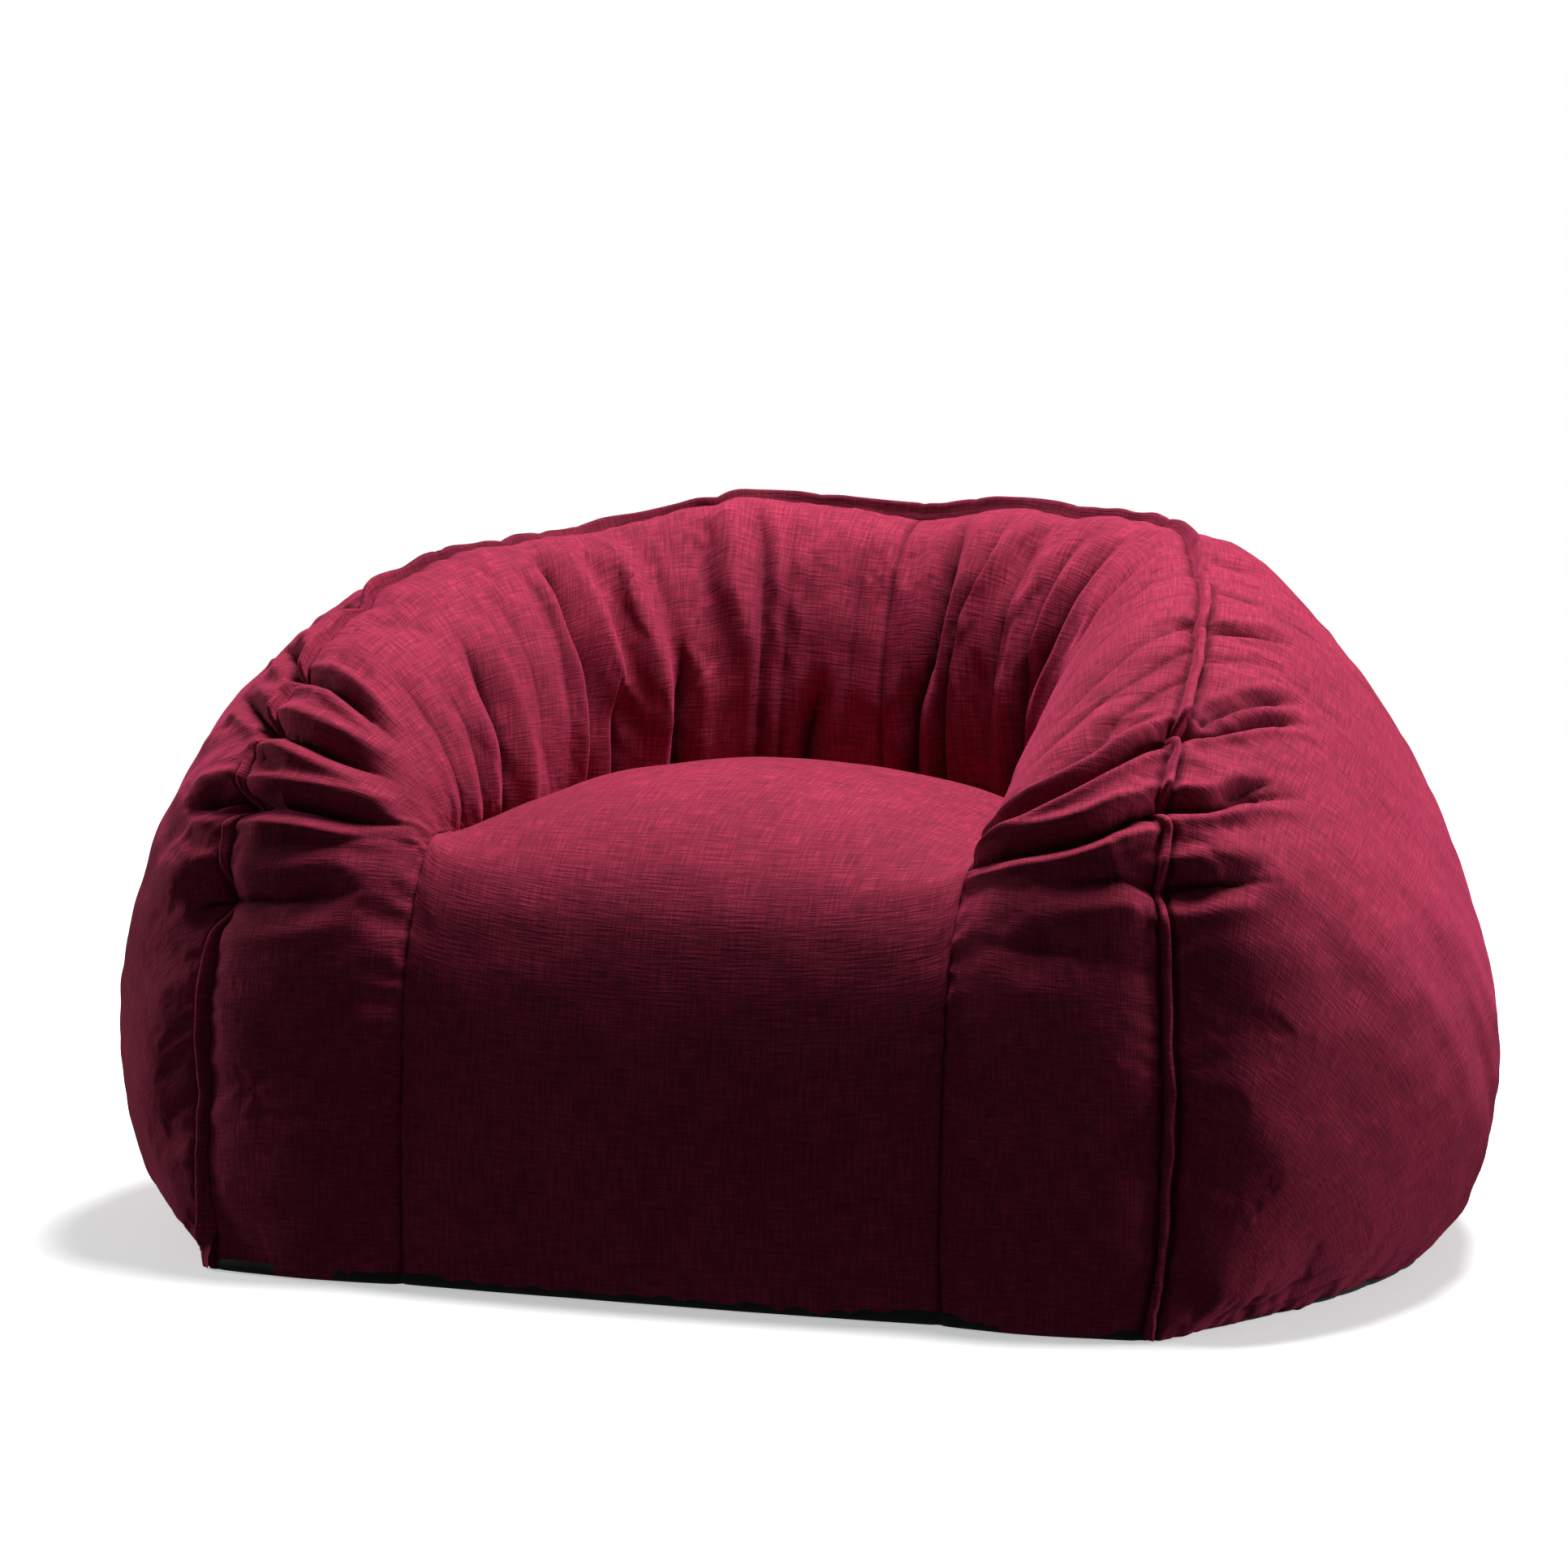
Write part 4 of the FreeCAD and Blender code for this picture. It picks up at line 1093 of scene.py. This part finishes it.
def chenille():
    """Crimson pile woven from slubby threads: fine ribs both ways, uneven dye, a soft sheen and
    painted shade darkening its creases.
    """
    material, tree, shader = new_material("crimson_chenille")
    runs = add(tree, "ShaderNodeUVMap", uv_map="cloth")
    threads = []
    for long_scale, cross_scale, seed in (
        (1 / SLUB_LENGTH, 1 / THREAD_PITCH, 3.0),
        (1 / THREAD_PITCH, 1 / SLUB_LENGTH, 8.0),
    ):
        place = add(tree, "ShaderNodeMapping")
        set_inputs(place, {"Scale": (long_scale, cross_scale, 1), "Location": (seed, seed, 0)})
        thread = add(tree, "ShaderNodeTexNoise", noise_dimensions="2D", Scale=1.0, Detail=2.0)
        thread.inputs["Roughness"].default_value = 0.55
        join(tree, (runs, "UV", place, "Vector"), (place, "Vector", thread, "Vector"))
        threads.append(thread.outputs["Fac"])
    weave = math_node(tree, "MULTIPLY", math_node(tree, "ADD", *threads), 0.5)
    spots = add(tree, "ShaderNodeTexCoord")
    pile = add(tree, "ShaderNodeTexNoise", Scale=9.0, Detail=4.0)
    fuzz = add(tree, "ShaderNodeTexNoise", Scale=900.0, Detail=2.0)
    join(tree, (spots, "Object", pile, "Vector"), (spots, "Object", fuzz, "Vector"))
    shade = math_node(
        tree,
        "ADD",
        math_node(tree, "MULTIPLY", weave, 0.8),
        math_node(tree, "MULTIPLY", pile.outputs["Fac"], 0.2),
    )
    colours = colour_steps(
        tree,
        (0.34, (0.122, 0.0125, 0.0265)),
        (0.46, (0.186, 0.0155, 0.0355)),
        (0.54, (0.232, 0.018, 0.043)),
        (0.66, (0.335, 0.0275, 0.065)),
    )
    tree.links.new(shade, colours.inputs["Fac"])
    # painted shade: the colour is mixed towards near black where the mesh's shade attribute marks
    # creases, folds, seams and the top of the fin
    painted_shade = add(tree, "ShaderNodeAttribute", attribute_name="painted_shade")
    darkened = add(tree, "ShaderNodeMix", data_type="RGBA")
    colour_in, colour_out = (
        next(socket for socket in sockets if socket.type == "RGBA")
        for sockets in (darkened.inputs, darkened.outputs)
    )
    black_in = [socket for socket in darkened.inputs if socket.type == "RGBA"][1]
    black_in.default_value = (0.012, 0.001, 0.002, 1)
    tree.links.new(math_node(tree, "MULTIPLY", painted_shade.outputs["Fac"], 0.92), darkened.inputs[0])
    tree.links.new(colours.outputs["Color"], colour_in)
    tree.links.new(colour_out, shader.inputs["Base Color"])
    roughened(tree, shader, shade, 0.95, 0.75)
    height = math_node(tree, "ADD", weave, math_node(tree, "MULTIPLY", fuzz.outputs["Fac"], 0.25))
    bumped(tree, shader, height, Strength=0.75, Distance=0.0015)
    sheen = {"Sheen Weight": 0.24, "Sheen Roughness": 0.45, "Sheen Tint": (1.0, 0.1, 0.27, 1)}
    set_inputs(shader, sheen | {"Specular IOR Level": 0.05})
    return material


def plain_weave(name, dark, light, scale, rough, sheen):
    """A fine plain weave, drawn in the object's own space."""
    material, tree, shader = new_material(name)
    spots = add(tree, "ShaderNodeTexCoord")
    waves = []
    for way in ("X", "Z"):
        wave = add(tree, "ShaderNodeTexWave", bands_direction=way, Scale=scale, Distortion=0.6)
        join(tree, (spots, "Object", wave, "Vector"))
        waves.append(wave.outputs["Fac"])
    noise = add(tree, "ShaderNodeTexNoise", Scale=60.0, Detail=4.0)
    join(tree, (spots, "Object", noise, "Vector"))
    weave = math_node(tree, "MULTIPLY", math_node(tree, "ADD", *waves), 0.35)
    tone = math_node(tree, "ADD", weave, math_node(tree, "MULTIPLY", noise.outputs["Fac"], 0.3))
    coloured(tree, shader, tone, (0.1, dark), (0.9, light))
    bumped(tree, shader, weave, Strength=0.5, Distance=0.0006)
    set_inputs(shader, {"Roughness": rough, "Sheen Weight": sheen})
    return material


def bead_material():
    """Packed polystyrene beads showing through."""
    material, tree, shader = new_material("bead_filling")
    spots = add(tree, "ShaderNodeTexCoord")
    cells = add(tree, "ShaderNodeTexVoronoi", Scale=220.0)
    join(tree, (spots, "Object", cells, "Vector"))
    away = cells.outputs["Distance"]
    coloured(tree, shader, away, (0.0, (0.92, 0.92, 0.9)), (0.8, (0.62, 0.62, 0.6)))
    bumped(tree, shader, away, Strength=0.8, Distance=0.002, invert=True)
    shader.inputs["Roughness"].default_value = 0.55
    return material


def worn_metal(name, dark, light, metallic):
    """Brushed and slightly scuffed metal or moulded plastic."""
    material, tree, shader = new_material(name)
    spots = add(tree, "ShaderNodeTexCoord")
    noise = add(tree, "ShaderNodeTexNoise", Scale=180.0, Detail=5.0)
    join(tree, (spots, "Object", noise, "Vector"))
    coloured(tree, shader, noise.outputs["Fac"], (0.3, dark), (0.7, light))
    roughened(tree, shader, noise.outputs["Fac"], 0.25, 0.5)
    bumped(tree, shader, noise.outputs["Fac"], Strength=0.15, Distance=0.0003)
    shader.inputs["Metallic"].default_value = metallic
    return material


CHENILLE = chenille()
BASE_CLOTH = plain_weave("base_cloth", (0.004, 0.003, 0.004), (0.014, 0.011, 0.012), 260, 0.9, 0.1)
LINING = plain_weave("lining_cloth", (0.5, 0.48, 0.44), (0.72, 0.7, 0.66), 220, 0.85, 0.2)
BEADS = bead_material()
ZIP_TAPE = plain_weave("zip_tape", (0.06, 0.003, 0.012), (0.16, 0.008, 0.032), 400, 0.8, 0.2)
ZIP_TEETH = worn_metal("zip_teeth", (0.07, 0.004, 0.014), (0.15, 0.01, 0.034), 0.0)
ZIP_METAL = worn_metal("zip_metal", (0.3, 0.29, 0.28), (0.55, 0.54, 0.52), 1.0)
LINING_ZIP = plain_weave("lining_zip", (0.55, 0.54, 0.5), (0.78, 0.76, 0.72), 400, 0.8, 0.2)
LINING_ZIP_METAL = worn_metal("lining_zip_metal", (0.35, 0.35, 0.35), (0.62, 0.62, 0.62), 1.0)
LABEL = plain_weave("label_cloth", (0.7, 0.69, 0.66), (0.9, 0.89, 0.86), 500, 0.75, 0.3)

for piece in cover + [rim_seam]:
    piece.data.materials.append(CHENILLE)
base.data.materials.append(BASE_CLOTH)
for piece, material in zip(inside, (LINING, LINING, BEADS, BEADS, LINING)):
    piece.data.materials.append(material)

NODE_FINISH = {
    "zip_tape_upper": ZIP_TAPE,
    "zip_tape_lower": ZIP_TAPE,
    "zip_teeth_upper": ZIP_TEETH,
    "zip_teeth_lower": ZIP_TEETH,
    "zip_stops": ZIP_METAL,
    "zip_slider": ZIP_METAL,
    "zip_pull": ZIP_METAL,
    "care_label": LABEL,
}
for bag in ("seat", "back"):
    NODE_FINISH[f"{bag}_liner_zip_tape"] = LINING_ZIP
    NODE_FINISH[f"{bag}_liner_zip_teeth"] = LINING_ZIP
    NODE_FINISH[f"{bag}_liner_zip_slider"] = LINING_ZIP_METAL
for node, material in NODE_FINISH.items():
    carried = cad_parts[node]
    carried.data.materials.clear()
    carried.data.materials.append(material)

# ---- floor, light and camera

AMBIENT = 0.102
bpy.ops.mesh.primitive_circle_add(
    vertices=96, radius=2.6, fill_type="NGON", location=(0, 0, -0.0005)
)
floor = bpy.context.object
floor.name = "floor"
floor_material, floor_tree, floor_shader = new_material("pale_floor")
floor_spots = add(floor_tree, "ShaderNodeTexCoord")
floor_noise = add(floor_tree, "ShaderNodeTexNoise", Scale=4.0, Detail=3.0)
floor_colours = colour_steps(floor_tree, (0.3, (0.86, 0.86, 0.86)), (0.7, (0.9, 0.9, 0.9)))
join(
    floor_tree,
    (floor_spots, "Object", floor_noise, "Vector"),
    (floor_noise, "Fac", floor_colours, "Fac"),
    (floor_colours, "Color", floor_shader, "Base Color"),
)
floor_glow = {"Emission Color": (1, 1, 1, 1), "Emission Strength": 0.45}
set_inputs(floor_shader, floor_glow | {"Roughness": 0.9})
floor.data.materials.append(floor_material)
floor.visible_diffuse = False
floor.visible_glossy = False

world = bpy.data.worlds.new("studio")
bpy.context.scene.world = world
world.use_nodes = True
world_nodes = world.node_tree
ambient = next(n for n in world_nodes.nodes if n.type == "BACKGROUND")
set_inputs(ambient, {"Color": (0.82, 1.0, 1.0, 1), "Strength": AMBIENT})
backdrop = add(world_nodes, "ShaderNodeBackground", Color=(1, 1, 1, 1), Strength=1.0)
seen = add(world_nodes, "ShaderNodeLightPath")
either = add(world_nodes, "ShaderNodeMixShader")
world_out = next(n for n in world_nodes.nodes if n.type == "OUTPUT_WORLD")
join(
    world_nodes,
    (seen, "Is Camera Ray", either, 0),
    (ambient, "Background", either, 1),
    (backdrop, "Background", either, 2),
    (either, "Shader", world_out, "Surface"),
)


def turned_to(thing, place, aim):
    """Stands a lamp or camera at a place and points it at another."""
    thing.location = place
    way = Vector(aim) - Vector(place)
    thing.rotation_euler = way.to_track_quat("-Z", "Y").to_euler()
    bpy.context.scene.collection.objects.link(thing)


def soft_light(name, place, aim, size, power):
    light = bpy.data.lights.new(name, "AREA")
    light.shape, light.size = "DISK", size
    light.energy = power
    turned_to(bpy.data.objects.new(name, light), place, aim)


soft_light("key", (0.5, 0.5, 3.3), (0, 0, 0.3), 1.5, 228)
soft_light("side", (4.4, 0.9, 1.1), (0.4, 0, 0.3), 1.6, 108)
soft_light("edge", (-4.4, 0.1, 1.3), (-0.4, 0, 0.3), 1.2, 85)

CAMERA_PLACE = (2.3865, -6.7348, 1.4519)
CAMERA_AIM = (-0.0764, 0.032, 0.3822)
CAMERA_LENS = 181.1
camera_data = bpy.data.cameras.new("camera")
camera_data.lens, camera_data.sensor_width = CAMERA_LENS, 36.0
camera = bpy.data.objects.new("camera", camera_data)
turned_to(camera, CAMERA_PLACE, CAMERA_AIM)
bpy.context.scene.camera = camera
bpy.context.scene.view_settings.view_transform = "Standard"
